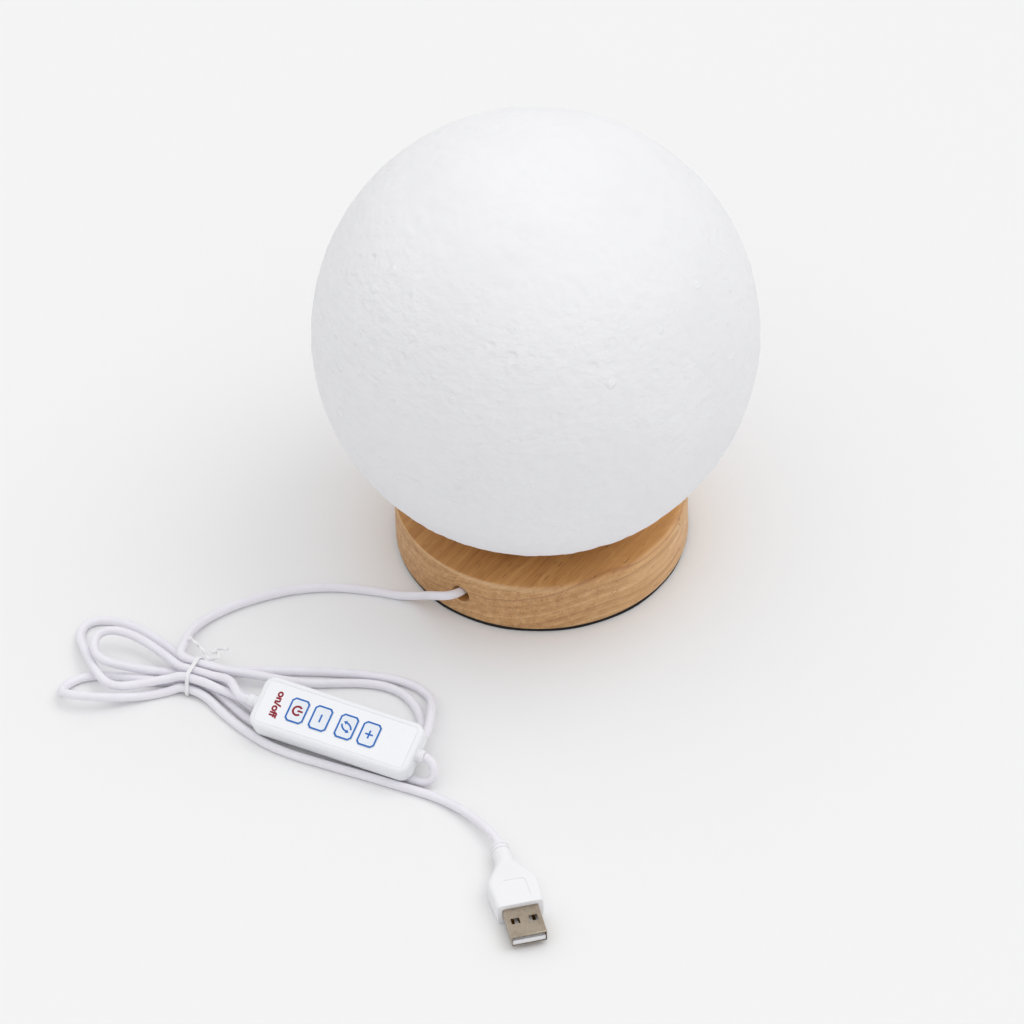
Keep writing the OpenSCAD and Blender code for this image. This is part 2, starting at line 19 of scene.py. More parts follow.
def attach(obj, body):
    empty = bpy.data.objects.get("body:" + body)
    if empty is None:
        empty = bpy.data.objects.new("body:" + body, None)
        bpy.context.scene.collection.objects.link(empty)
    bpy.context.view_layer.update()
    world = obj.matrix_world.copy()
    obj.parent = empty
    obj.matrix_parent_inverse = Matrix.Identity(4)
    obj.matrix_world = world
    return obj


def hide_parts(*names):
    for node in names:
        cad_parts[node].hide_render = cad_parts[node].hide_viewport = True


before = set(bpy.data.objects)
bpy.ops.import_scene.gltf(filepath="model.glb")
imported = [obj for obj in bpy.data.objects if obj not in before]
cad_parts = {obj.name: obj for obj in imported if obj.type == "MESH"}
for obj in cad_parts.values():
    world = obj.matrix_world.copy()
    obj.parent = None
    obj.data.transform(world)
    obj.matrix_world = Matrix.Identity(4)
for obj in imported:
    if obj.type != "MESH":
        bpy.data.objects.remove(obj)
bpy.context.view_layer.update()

MM = 0.001
log = logging.getLogger("moon_lamp")

Points = np.ndarray
Faces = list[tuple[int, ...]]
Colour = tuple[float, float, float, float]


class Body(Enum):
    """CAD bodies that a piece can ride on."""

    BASE = "base"
    GLOBE = "globe"
    POWER = "key_power"
    MINUS = "key_minus"
    CYCLE = "key_cycle"
    PLUS = "key_plus"


class Slot(Enum):
    """Material slots of the record."""

    WOOD = "wood"
    FOAM = "foam"
    SHADE = "shade"
    WHITE = "white_plastic"
    CONTROL = "control_shell"
    LABEL = "label"
    KEY = "key_film"
    CORD = "cord"
    TIE = "tie_film"
    STEEL = "steel"
    NICKEL = "nickel"
    GOLD = "gold"
    BOARD_WHITE = "board_white"
    BOARD_GREEN = "board_green"
    CHIP = "chip"
    BLACK = "black_plastic"


class Mark(Enum):
    """Signs printed on the keys."""

    POWER = "power"
    MINUS = "minus"
    CYCLE = "cycle"
    PLUS = "plus"


def srgb(red: int, green: int, blue: int) -> Colour:
    """Turns an 8-bit display colour into the linear colour that shaders use.

    Args:
        red: red, 0 to 255.
        green: green, 0 to 255.
        blue: blue, 0 to 255.

    Returns:
        The linear colour with an alpha of 1.
    """
    def linear(value: int) -> float:
        """One channel, display to linear."""
        c = value / 255
        return c / 12.92 if c <= 0.04045 else ((c + 0.055) / 1.055) ** 2.4
    return linear(red), linear(green), linear(blue), 1.0


# ---- Meshes ----


def new_object(name: str, points: Points, faces: Faces, sharp: float = 35.0) -> bpy.types.Object:
    """Makes a smooth-shaded mesh object at the origin.

    Args:
        name: name of the piece.
        points: places of the vertices in millimetres.
        faces: vertex numbers of each face, counter-clockwise from outside.
        sharp: angle in degrees past which an edge is shaded hard.

    Returns:
        The object, linked to the scene.
    """
    mesh = bpy.data.meshes.new(name)
    mesh.from_pydata((np.asarray(points, float) * MM).tolist(), [], faces)
    mesh.update()
    mesh.shade_smooth()
    mesh.set_sharp_from_angle(angle=math.radians(sharp))
    obj = bpy.data.objects.new(name, mesh)
    bpy.context.scene.collection.objects.link(obj)
    return obj


def loft(rings: Sequence[Points], joined: bool = False) -> tuple[Points, Faces]:
    """Skins a row of closed rings with the same number of points.

    Args:
        rings: rings that turn counter-clockwise about the way they are stacked.
        joined: whether the last ring runs back into the first; otherwise both ends are capped.

    Returns:
        Vertices and faces of the closed skin.
    """
    n, k = len(rings[0]), len(rings)
    faces: Faces = []
    for i in range(k if joined else k - 1):
        a, b = i * n, ((i + 1) % k) * n
        faces += [(a + j, a + (j + 1) % n, b + (j + 1) % n, b + j) for j in range(n)]
    if not joined:
        faces.append(tuple(range(n - 1, -1, -1)))
        faces.append(tuple((k - 1) * n + j for j in range(n)))
    return np.concatenate(rings), faces


def together(*parts: tuple[Points, Faces]) -> tuple[Points, Faces]:
    """Puts several closed skins into one list of vertices and faces.

    Args:
        parts: skins as vertices and faces.

    Returns:
        The vertices and faces of all of them.
    """
    points, faces, start = [], [], 0
    for part_points, part_faces in parts:
        points.append(part_points)
        faces += [tuple(start + i for i in face) for face in part_faces]
        start += len(part_points)
    return np.concatenate(points), faces


def at_height(plan: Points, z: float) -> Points:
    """Lifts a flat outline to a height."""
    return np.column_stack([plan, np.full(len(plan), z)])


def circle(radius: float, count: int) -> Points:
    """A flat circle of points, counter-clockwise."""
    a = np.arange(count) * 2 * np.pi / count
    return radius * np.column_stack([np.cos(a), np.sin(a)])


def rounded_ring(length: float, width: float, radius: float, steps: int = 8) -> Points:
    """A flat rounded rectangle whose points match those of any other made with the same steps.

    Args:
        length: size along x.
        width: size along y.
        radius: corner radius.
        steps: arcs in each corner.

    Returns:
        The outline, counter-clockwise.
    """
    radius = min(radius, length / 2, width / 2)
    out = []
    for quarter, (x, y) in enumerate([(1, 1), (-1, 1), (-1, -1), (1, -1)]):
        for i in range(steps + 1):
            a = math.radians(90 * (quarter + i / steps))
            out.append((x * (length / 2 - radius) + radius * math.cos(a),
                        y * (width / 2 - radius) + radius * math.sin(a)))
    return np.array(out)


def revolved(profile: Sequence[tuple[float, float]], count: int = 48) -> tuple[Points, Faces]:
    """Turns a profile round the z axis and caps its ends.

    Args:
        profile: radius and height of each ring, from the lowest up the outside.
        count: points in each ring.

    Returns:
        Vertices and faces.
    """
    return loft([at_height(circle(r, count), z) for r, z in profile])


def plate(outline: Points, holes: Sequence[Points], low: float, high: float) -> tuple[Points, Faces]:
    """A flat plate with holes.

    Args:
        outline: outer outline, counter-clockwise.
        holes: outlines of the holes, counter-clockwise.
        low: height of the underside.
        high: height of the top.

    Returns:
        Vertices and faces.
    """
    loops = [outline, *holes]
    flat = np.concatenate(loops)
    n = len(flat)
    triangles = tessellate_polygon([[Vector((x, y, 0)) for x, y in loop] for loop in loops])
    faces: Faces = []
    for a, b, c in triangles:
        side = np.cross(flat[b] - flat[a], flat[c] - flat[a])
        a, b, c = (a, b, c) if side > 0 else (a, c, b)
        faces += [(a + n, b + n, c + n), (c, b, a)]
    start = 0
    for number, loop in enumerate(loops):
        m = len(loop)
        for i in range(m):
            a, b = start + i, start + (i + 1) % m
            faces.append((a, b, b + n, a + n) if number == 0 else (b, a, a + n, b + n))
        start += m
    return np.concatenate([at_height(flat, low), at_height(flat, high)]), faces


def placed(points: Points, matrix: Matrix) -> Points:
    """Moves points by a matrix whose shift is in millimetres."""
    m = np.array(matrix)
    return points @ m[:3, :3].T + m[:3, 3]


def carve(obj: bpy.types.Object, *cutters: bpy.types.Object, sharp: float = 35.0) -> None:
    """Cuts pieces out of a mesh, for good, and removes them.

    Args:
        obj: the piece that is cut.
        cutters: closed meshes to take away.
        sharp: angle in degrees past which an edge is shaded hard afterwards.
    """
    for cutter in cutters:
        cut = obj.modifiers.new("cut", "BOOLEAN")
        cut.operation, cut.solver, cut.object = "DIFFERENCE", "EXACT", cutter
    bake_modifiers(obj)
    for cutter in cutters:
        bpy.data.objects.remove(cutter)
    obj.data.shade_smooth()
    obj.data.set_sharp_from_angle(angle=math.radians(sharp))


def bake_modifiers(obj: bpy.types.Object) -> None:
    """Turns an object's modifiers into its plain mesh and removes them."""
    bpy.context.view_layer.update()
    graph = bpy.context.evaluated_depsgraph_get()
    made = bpy.data.meshes.new_from_object(obj.evaluated_get(graph), depsgraph=graph)
    obj.modifiers.clear()
    obj.data = made


def run_tree(obj: bpy.types.Object, tree: bpy.types.NodeTree, values: dict[str, object]) -> None:
    """Runs a Geometry Nodes tree on an object and keeps its result as the plain mesh.

    Args:
        obj: the object.
        tree: the tree.
        values: a value for each of its named inputs.
    """
    rule = obj.modifiers.new(tree.name, "NODES")
    rule.node_group = tree
    sockets = {s.name: s.identifier for s in tree.interface.items_tree
               if getattr(s, "in_out", "") == "INPUT"}
    for key, value in values.items():
        rule[sockets[key]] = value
    bake_modifiers(obj)


# ---- Paths ----


def resampled(path: Points, step: float) -> Points:
    """Spaces points evenly along a path."""
    length = np.concatenate([[0], np.cumsum(np.linalg.norm(np.diff(path, axis=0), axis=1))])
    marks = np.linspace(0, length[-1], max(2, round(length[-1] / step) + 1))
    return np.column_stack([np.interp(marks, length, path[:, i]) for i in range(3)])


def smooth_path(points: Points, step: float, soften: float) -> Points:
    """A smooth curve through points, with no loops of its own at uneven spacing.

    Args:
        points: points on the centreline.
        step: spacing of the result.
        soften: length over which kinks are evened out; the ends stay where they are.

    Returns:
        Points of the curve.
    """
    p = np.vstack([2 * points[0] - points[1], points, 2 * points[-1] - points[-2]])
    out = []
    for i in range(1, len(p) - 2):
        a, b, c, d = p[i - 1:i + 3]
        t = np.concatenate([[0], np.cumsum(np.linalg.norm(np.diff([a, b, c, d], axis=0), axis=1)
                                           ** 0.5)])
        n = max(2, int(np.linalg.norm(c - b) / (step / 3)))
        u = np.linspace(t[1], t[2], n, endpoint=False)[:, None]
        ab = (t[1] - u) / (t[1] - t[0]) * a + (u - t[0]) / (t[1] - t[0]) * b
        bc = (t[2] - u) / (t[2] - t[1]) * b + (u - t[1]) / (t[2] - t[1]) * c
        cd = (t[3] - u) / (t[3] - t[2]) * c + (u - t[2]) / (t[3] - t[2]) * d
        abc = (t[2] - u) / (t[2] - t[0]) * ab + (u - t[0]) / (t[2] - t[0]) * bc
        bcd = (t[3] - u) / (t[3] - t[1]) * bc + (u - t[1]) / (t[3] - t[1]) * cd
        out.append((t[2] - u) / (t[2] - t[1]) * abc + (u - t[1]) / (t[2] - t[1]) * bcd)
    path = resampled(np.vstack([*out, points[-1]]), step)
    reach = max(1, round(soften / step))
    weight = np.hanning(2 * reach + 3)[1:-1]
    padded = np.vstack([2 * path[0] - path[reach:0:-1], path, 2 * path[-1] - path[-2:-reach - 2:-1]])
    soft = np.column_stack([np.convolve(padded[:, i], weight / weight.sum(), "valid")
                            for i in range(3)])
    soft[0], soft[-1] = path[0], path[-1]
    return soft


def tube(path: Points, radius: Callable[[float], float], sides: int, flat: float = 1.0,
         twist: float = 0.0) -> tuple[Points, Faces, Points]:
    """Sweeps a round or flattened section along a path without twisting it.

    Args:
        path: centreline.
        radius: radius of the section at a share of the length, 0 to 1.
        sides: points round the section.
        flat: height of the section as a share of its width.
        twist: whole turns that a flattened section makes along the path.

    Returns:
        Vertices, faces, and the length along the path and the turn of each face corner.
    """
    tangent = np.gradient(path, axis=0)
    tangent /= np.linalg.norm(tangent, axis=1)[:, None]
    side = np.cross(tangent[0], (0, 0, 1) if abs(tangent[0][2]) < 0.8 else (1, 0, 0))
    length = np.concatenate([[0], np.cumsum(np.linalg.norm(np.diff(path, axis=0), axis=1))])
    angle = np.arange(sides) * 2 * np.pi / sides
    rings = []
    for i, (p, t) in enumerate(zip(path, tangent)):
        side = side - t * (side @ t)
        side /= np.linalg.norm(side)
        share = length[i] / length[-1]
        r, turn = radius(share), 2 * np.pi * twist * share
        over = np.cross(t, side)
        a, b = np.cos(turn) * side + np.sin(turn) * over, np.cos(turn) * over - np.sin(turn) * side
        rings.append(p + r * (np.cos(angle)[:, None] * a + flat * np.sin(angle)[:, None] * b))
    points, faces = loft(rings)
    n = len(rings) - 1
    u = np.repeat(length[:-1], sides), np.repeat(length[1:], sides)
    v0 = np.tile(np.arange(sides), n) / sides
    v1 = v0 + 1 / sides
    corners = np.stack([np.column_stack([u[0], v0]), np.column_stack([u[0], v1]),
                        np.column_stack([u[1], v1]), np.column_stack([u[1], v0])], axis=1)
    caps = np.zeros((2 * sides, 2))
    return points, faces, np.vstack([corners.reshape(-1, 2), caps])


def add_uv(obj: bpy.types.Object, corners: Points) -> None:
    """Gives a swept piece its own map: decimetres along it, turns round it."""
    layer = obj.data.uv_layers.new(name="along")
    layer.data.foreach_set("uv", (corners * (0.01, 1.0)).astype(np.float32).ravel())


def enlist(obj: bpy.types.Object, body: Body, slot: Slot, material: bpy.types.Material,
           *replaced: str) -> bpy.types.Object:
    """Dresses a piece, puts it on its body and says which solids it stands for.

    Args:
        obj: the piece.
        body: CAD body that it rides on.
        slot: the record's slot that its finish comes from; not used.
        material: its finish, unless the mesh already has its own.
        replaced: CAD nodes that it stands for.

    Returns:
        The piece.
    """
    if not obj.data.materials:
        obj.data.materials.append(material)
    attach(obj, body.value)
    if replaced:
        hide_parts(*replaced)
    log.info("%s: %d faces on %s, stands for %s", obj.name, len(obj.data.polygons), body.value,
             ", ".join(replaced) or "nothing")
    return obj


def dress(node: str, material: bpy.types.Material) -> None:
    """Gives a CAD node that stays in view a finish."""
    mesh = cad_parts[node].data
    mesh.materials.clear()
    mesh.materials.append(material)
    log.info("%s: CAD node dressed in %s", node, material.name)


# ---- Node trees ----


class Wiring:
    """Adds nodes to one tree and wires them."""

    def __init__(self, tree: bpy.types.NodeTree) -> None:
        """Starts work on a tree."""
        self.tree = tree

    def put(self, kind: str, inputs: dict | None = None, **settings: object) -> bpy.types.Node:
        """Adds a node.

        Args:
            kind: Blender's name of the node type.
            inputs: a value or a socket for each input, by name or number.
            settings: properties of the node.

        Returns:
            The node.
        """
        node = self.tree.nodes.new(kind)
        for key, value in settings.items():
            setattr(node, key, value)
        for key, value in (inputs or {}).items():
            if isinstance(value, bpy.types.NodeSocket):
                self.tree.links.new(value, node.inputs[key])
            else:
                node.inputs[key].default_value = value
        return node

    def math(self, operation: str, a: object, b: object = 0.0, clamp: bool = False
             ) -> bpy.types.NodeSocket:
        """A Math node's result."""
        return self.put("ShaderNodeMath", {0: a, 1: b}, operation=operation,
                        use_clamp=clamp).outputs[0]

    def vector(self, operation: str, a: object, b: object) -> bpy.types.NodeSocket:
        """A Vector Math node's result."""
        return self.put("ShaderNodeVectorMath", {0: a, 1: b}, operation=operation).outputs[0]

    def times(self, a: object, b: object, clamp: bool = False) -> bpy.types.NodeSocket:
        """Two values multiplied."""
        return self.math("MULTIPLY", a, b, clamp)

    def plus(self, a: object, b: object, clamp: bool = False) -> bpy.types.NodeSocket:
        """Two values added."""
        return self.math("ADD", a, b, clamp)

    def minus(self, a: object, b: object) -> bpy.types.NodeSocket:
        """The second value taken from the first."""
        return self.math("SUBTRACT", a, b)

    def scaled(self, a: object, b: object) -> bpy.types.NodeSocket:
        """A vector times another, axis by axis."""
        return self.vector("MULTIPLY", a, b)

    def remap(self, value: object, low: float, high: float, to_low: object = 0.0,
              to_high: object = 1.0, kind: str = "SMOOTHSTEP") -> bpy.types.NodeSocket:
        """A value's range mapped onto another."""
        return self.put("ShaderNodeMapRange", {0: value, 1: low, 2: high, 3: to_low, 4: to_high},
                        interpolation_type=kind).outputs[0]

    def mix(self, share: object, a: object, b: object, blend: str = "MIX"
            ) -> bpy.types.NodeSocket:
        """Two colours mixed."""
        return self.put("ShaderNodeMix", {0: share, 6: a, 7: b}, data_type="RGBA",
                        blend_type=blend).outputs[2]

    def noise(self, vector: object, scale: object, detail: float = 2.0, rough: float = 0.5,
              warp: float = 0.0) -> bpy.types.NodeSocket:
        """A noise value around one half."""
        return self.put("ShaderNodeTexNoise", {
            "Vector": vector, "Scale": scale, "Detail": detail, "Roughness": rough,
            "Distortion": warp}).outputs[0]

    def ramp(self, value: object, *stops: tuple[float, Colour]) -> bpy.types.NodeSocket:
        """A colour looked up on a ramp."""
        node = self.put("ShaderNodeValToRGB", {0: value})
        ramp = node.color_ramp
        while len(ramp.elements) < len(stops):
            ramp.elements.new(0.5)
        for element, (place, colour) in zip(ramp.elements, stops):
            element.position, element.color = place, colour
        return node.outputs[0]

    def in_mm(self, where: bpy.types.NodeSocket) -> bpy.types.NodeSocket:
        """A place in metres turned into millimetres."""
        return self.scaled(where, (1000.0, 1000.0, 1000.0))

    def stretched(self, size: Sequence[float]) -> bpy.types.NodeSocket:
        """Object coordinates divided by a size in millimetres along each axis."""
        where = self.put("ShaderNodeTexCoord").outputs["Object"]
        return self.scaled(where, tuple(1 / (s * MM) for s in size))


def shader_group(name: str, inputs: dict[str, tuple[str, object]], outputs: dict[str, str],
                 wire: Callable[[Wiring, bpy.types.Node], dict[str, bpy.types.NodeSocket]]
                 ) -> bpy.types.NodeTree:
    """Builds a shader node group once.

    Args:
        name: name of the group.
        inputs: socket type and default of each named input.
        outputs: socket type of each named output.
        wire: makes the inside from the group's input node and returns the outputs.

    Returns:
        The group.
    """
    made = bpy.data.node_groups.get(name)
    if made:
        return made
    tree = bpy.data.node_groups.new(name, "ShaderNodeTree")
    for key, (kind, default) in inputs.items():
        socket = tree.interface.new_socket(key, in_out="INPUT", socket_type=kind)
        if kind == "NodeSocketFloat":
            socket.default_value = default
    for key, kind in outputs.items():
        tree.interface.new_socket(key, in_out="OUTPUT", socket_type=kind)
    wiring = Wiring(tree)
    results = wire(wiring, tree.nodes.new("NodeGroupInput"))
    out = tree.nodes.new("NodeGroupOutput")
    for key, socket in results.items():
        tree.links.new(socket, out.inputs[key])
    return tree


def moulded_grain() -> bpy.types.NodeTree:
    """Group: the fine uneven skin of moulded plastic, as a height and a roughness."""
    def wire(w: Wiring, start: bpy.types.Node) -> dict[str, bpy.types.NodeSocket]:
        """Two sizes of grain over a slow swell."""
        o = start.outputs
        grain = w.noise(o["Vector"], w.math("DIVIDE", 1000.0, o["Grain"]), 3.0, 0.6)
        swell = w.noise(o["Vector"], w.math("DIVIDE", 90.0, o["Grain"]), 2.0, 0.5)
        height = w.plus(w.times(grain, 0.6), w.times(swell, 1.4))
        spread = w.minus(w.plus(grain, swell), 1.0)
        rough = w.plus(o["Roughness"], w.times(spread, o["Spread"]))
        return {"Height": height, "Roughness": rough}
    return shader_group(
        "moulded_grain",
        {"Vector": ("NodeSocketVector", None), "Grain": ("NodeSocketFloat", 0.3),
         "Roughness": ("NodeSocketFloat", 0.45), "Spread": ("NodeSocketFloat", 0.25)},
        {"Height": "NodeSocketFloat", "Roughness": "NodeSocketFloat"}, wire)


def handling_marks() -> bpy.types.NodeTree:
    """Group: where fingers and dust have been, as a mask."""
    def wire(w: Wiring, start: bpy.types.Node) -> dict[str, bpy.types.NodeSocket]:
        """Cloudy patches broken up by specks."""
        o = start.outputs
        cloud = w.noise(o["Vector"], w.math("DIVIDE", 1000.0, o["Size"]), 4.0, 0.6, 0.4)
        speck = w.noise(o["Vector"], w.math("DIVIDE", 9000.0, o["Size"]), 2.0, 0.7)
        patch = w.remap(cloud, 0.42, 0.72)
        dots = w.remap(speck, 0.66, 0.78)
        mask = w.plus(w.times(patch, 0.75), w.times(dots, 0.5))
        return {"Mask": w.times(mask, o["Amount"], clamp=True)}
    return shader_group(
        "handling_marks",
        {"Vector": ("NodeSocketVector", None), "Size": ("NodeSocketFloat", 12.0),
         "Amount": ("NodeSocketFloat", 0.5)},
        {"Mask": "NodeSocketFloat"}, wire)


def drawn_lines() -> bpy.types.NodeTree:
    """Group: fine lines left by drawing or brushing, as a height and a roughness."""
    def wire(w: Wiring, start: bpy.types.Node) -> dict[str, bpy.types.NodeSocket]:
        """Noise pulled out along one axis of the given vector."""
        o = start.outputs
        lines = w.noise(o["Vector"], 1.0, 4.0, 0.65)
        cloud = w.noise(o["Vector"], 0.12, 2.0, 0.5)
        rough = w.plus(o["Roughness"], w.times(w.minus(w.plus(lines, cloud), 1.0), o["Spread"]))
        return {"Height": lines, "Roughness": rough}
    return shader_group(
        "drawn_lines",
        {"Vector": ("NodeSocketVector", None), "Roughness": ("NodeSocketFloat", 0.3),
         "Spread": ("NodeSocketFloat", 0.3)},
        {"Height": "NodeSocketFloat", "Roughness": "NodeSocketFloat"}, wire)


def begin_material(name: str) -> tuple[bpy.types.Material, Wiring, bpy.types.Node]:
    """Starts a material.

    Args:
        name: name of the finish.

    Returns:
        The material, the wiring of its tree and its Principled BSDF.
    """
    material = bpy.data.materials.new(name)
    material.use_nodes = True
    tree = material.node_tree
    tree.nodes.clear()
    wiring = Wiring(tree)
    shader = wiring.put("ShaderNodeBsdfPrincipled")
    wiring.put("ShaderNodeOutputMaterial", {"Surface": shader.outputs[0]})
    return material, wiring, shader


def wire_in(w: Wiring, shader: bpy.types.Node, colour: object = None, rough: object = None,
            height: object = None, depth_mm: float = 0.02, strength: float = 1.0) -> None:
    """Feeds a shader's colour, roughness and relief.

    Args:
        w: wiring of the material.
        shader: its Principled BSDF.
        colour: base colour.
        rough: roughness.
        height: relief, 0 to 1.
        depth_mm: height of the relief in millimetres.
        strength: strength of the Bump node.
    """
    if colour is not None:
        w.tree.links.new(colour, shader.inputs["Base Color"])
    if rough is not None:
        w.tree.links.new(rough, shader.inputs["Roughness"])
    if height is not None:
        bump = w.put("ShaderNodeBump", {"Height": height, "Distance": depth_mm * MM,
                                        "Strength": strength})
        w.tree.links.new(bump.outputs[0], shader.inputs["Normal"])


# ---- Finishes ----


@dataclass(frozen=True)
class Moulded:
    """Moulded or coated plastic: fine grain, faint handling marks."""

    name: str
    colour: Colour
    marked: Colour
    roughness: float = 0.45
    spread: float = 0.2
    grain_mm: float = 0.35
    depth_mm: float = 0.012
    marks: float = 0.45
    marks_mm: float = 12.0
    coat: float = 0.0
    translucent: float = 0.0

    def material(self) -> bpy.types.Material:
        """Gives the frame's plain material of this name, or builds one where it has none."""
        # The frame brings white_plastic, control_shell, key_film, tie_film and black_plastic, so
        # those five show as its flat colours and their values in Finishes aren't seen
        made = bpy.data.materials.get(self.name)
        if made:
            return made
        made, w, shader = begin_material(self.name)
        where = w.put("ShaderNodeTexCoord").outputs["Object"]
        grain = w.put("ShaderNodeGroup", node_tree=moulded_grain())
        marks = w.put("ShaderNodeGroup", node_tree=handling_marks())
        for group, values in ((grain, {"Grain": self.grain_mm, "Roughness": self.roughness,
                                       "Spread": self.spread}),
                              (marks, {"Size": self.marks_mm, "Amount": self.marks})):
            w.tree.links.new(where, group.inputs["Vector"])
            for key, value in values.items():
                group.inputs[key].default_value = value
        colour = w.mix(marks.outputs["Mask"], self.colour, self.marked)
        wire_in(w, shader, colour, grain.outputs["Roughness"], grain.outputs["Height"],
                self.depth_mm)
        shader.inputs["Coat Weight"].default_value = self.coat
        shader.inputs["Coat Roughness"].default_value = 0.18
        shader.inputs["IOR"].default_value = 1.48
        if self.translucent:
            shader.inputs["Subsurface Weight"].default_value = self.translucent
            shader.inputs["Subsurface Radius"].default_value = (1.0, 0.9, 0.85)
            shader.inputs["Subsurface Scale"].default_value = 0.0012
        return made


@dataclass(frozen=True)
class Metal:
    """Drawn or plated metal with fine lines along one axis."""

    name: str
    colour: Colour
    dull: Colour
    roughness: float = 0.3
    spread: float = 0.25
    lines_mm: tuple[float, float, float] = (0.15, 0.15, 3.0)
    depth_mm: float = 0.004

    def material(self) -> bpy.types.Material:
        """Builds the material."""
        made, w, shader = begin_material(self.name)
        lines = w.put("ShaderNodeGroup", {"Vector": w.stretched(self.lines_mm)},
                      node_tree=drawn_lines())
        lines.inputs["Roughness"].default_value = self.roughness
        lines.inputs["Spread"].default_value = self.spread
        tarnish = w.remap(w.noise(w.stretched((4, 4, 4)), 1.0, 4.0, 0.6), 0.4, 0.7)
        wire_in(w, shader, w.mix(tarnish, self.colour, self.dull), lines.outputs["Roughness"],
                lines.outputs["Height"], self.depth_mm)
        shader.inputs["Metallic"].default_value = 1.0
        return made


@dataclass(frozen=True)
class TurnedWood:
    """Oiled solid wood: bands of growth, pores along the fibre, speckled end grain at its ends, with
    painted shade on its top, painted light towards its right and a painted highlight on its left rim.
    """

    name: str = "oiled_wood"
    fibre_turn: float = 52.0
    # Cells for each millimetre along the fibre, across it and up
    streak_cells: tuple[float, float, float] = (0.022, 0.42, 0.42)
    fibre_cells: tuple[float, float, float] = (0.16, 3.4, 3.4)
    pore_cells: tuple[float, float, float] = (0.12, 1.15, 1.15)
    dot_cells: tuple[float, float, float] = (0.4, 1.25, 1.25)
    pale: Colour = srgb(229, 189, 138)
    middle: Colour = srgb(204, 157, 105)
    deep: Colour = srgb(168, 116, 66)
    pore: Colour = srgb(100, 60, 32)
    streak: Colour = srgb(160, 110, 80)
    # Painted shade: multiplies the colour of the top face, darker and warmer than the side
    top_shade_tint: Colour = (0.93, 0.8, 0.57, 1.0)
    # Painted highlight: a pale line on the rounding of the upper edge, towards the left
    rim: Colour = srgb(226, 190, 146)
    rim_highlight_from: tuple[float, float] = (15.0, -20.0)
    rim_highlight_share: float = 0.5
    # Painted light: the wood turns paler towards the right
    light_side_from: tuple[float, float] = (12.0, 46.0)
    light_side_share: float = 0.6
    light_side_tint: Colour = (1.35, 1.42, 1.5, 1.0)
    relief_mm: float = 0.1

    def material(self) -> bpy.types.Material:
        """Builds the material."""
        made, w, shader = begin_material(self.name)
        where = w.put("ShaderNodeTexCoord").outputs["Object"]
        turned = w.put("ShaderNodeMapping", {"Vector": where, "Rotation": (
            0, 0, math.radians(-self.fibre_turn)), "Scale": (1000, 1000, 1000)}).outputs[0]
        split = w.put("ShaderNodeSeparateXYZ", {0: turned})
        # Bands of growth lie nearly flat in the blank and wander slowly along the fibre
        bend = w.noise(w.scaled(turned, (0.011, 0.035, 0.0)), 1.0, 2.0, 0.5)
        tilt = w.times(split.outputs[1], 0.16)
        depth = w.plus(w.plus(split.outputs[2], tilt), w.times(w.minus(bend, 0.5), 14.0))
        layer = w.put("ShaderNodeCombineXYZ", {0: 0.0, 1: 0.0, 2: depth}).outputs[0]
        bands = w.noise(w.scaled(layer, (0.0, 0.0, 0.42)), 1.0, 4.0, 0.7)
        bands = w.remap(bands, 0.3, 0.72, kind="LINEAR")
        streaks = w.noise(w.scaled(turned, self.streak_cells), 1.0, 4.0, 0.6)
        fibre = w.noise(w.scaled(turned, self.fibre_cells), 1.0, 3.0, 0.62)
        tone = w.plus(w.times(bands, 0.42), w.plus(w.times(streaks, 0.5), w.times(fibre, 0.34)))
        colour = w.ramp(tone, (0.36, self.pale), (0.6, self.middle), (0.9, self.deep))
        seams = w.noise(w.scaled(layer, (0.0, 0.0, 0.3)), 1.0, 3.0, 0.6)
        dark = w.remap(seams, 0.55, 0.66, 0.0, 0.5)
        colour = w.mix(dark, colour, self.streak)
        # Vessels: long dashes where the cut runs with the fibre, dots where it crosses it
        pores = w.put("ShaderNodeTexVoronoi", {
            "Vector": w.scaled(turned, self.pore_cells), "Scale": 1.0, "Randomness": 1.0})
        chance = w.put("ShaderNodeSeparateColor", {0: pores.outputs["Color"]})
        width = w.remap(chance.outputs[1], 0.0, 1.0, 0.12, 0.27, "LINEAR")
        edge = w.minus(width, pores.outputs["Distance"])
        dash = w.times(w.remap(edge, 0.0, 0.12), w.remap(chance.outputs[0], 0.3, 0.5))
        colour = w.mix(w.times(dash, 0.62), colour, self.pore)
        # End grain shows fine dots where the turned side cuts across the fibre
        normal = w.put("ShaderNodeVectorTransform", {0: w.put(
            "ShaderNodeNewGeometry").outputs["Normal"]}, vector_type="NORMAL",
            convert_from="WORLD", convert_to="OBJECT").outputs[0]
        turn = math.radians(self.fibre_turn)
        facing = w.put("ShaderNodeVectorMath", {0: normal, 1: (
            math.cos(turn), math.sin(turn), 0.0)}, operation="DOT_PRODUCT").outputs["Value"]
        across = w.remap(w.math("ABSOLUTE", facing), 0.35, 0.8)
        dots = w.put("ShaderNodeTexVoronoi", {
            "Vector": w.scaled(turned, self.dot_cells), "Scale": 1.0, "Randomness": 1.0
        }).outputs["Distance"]
        speck = w.times(w.remap(dots, 0.3, 0.14), across)
        colour = w.mix(w.times(speck, 0.5), colour, self.pore)
        lift = w.put("ShaderNodeSeparateXYZ", {0: normal}).outputs[2]
        # Painted shade: the upward face is tinted darker and warmer
        up = w.remap(lift, 0.6, 0.98)
        colour = w.mix(up, colour, w.mix(1.0, colour, self.top_shade_tint, "MULTIPLY"))
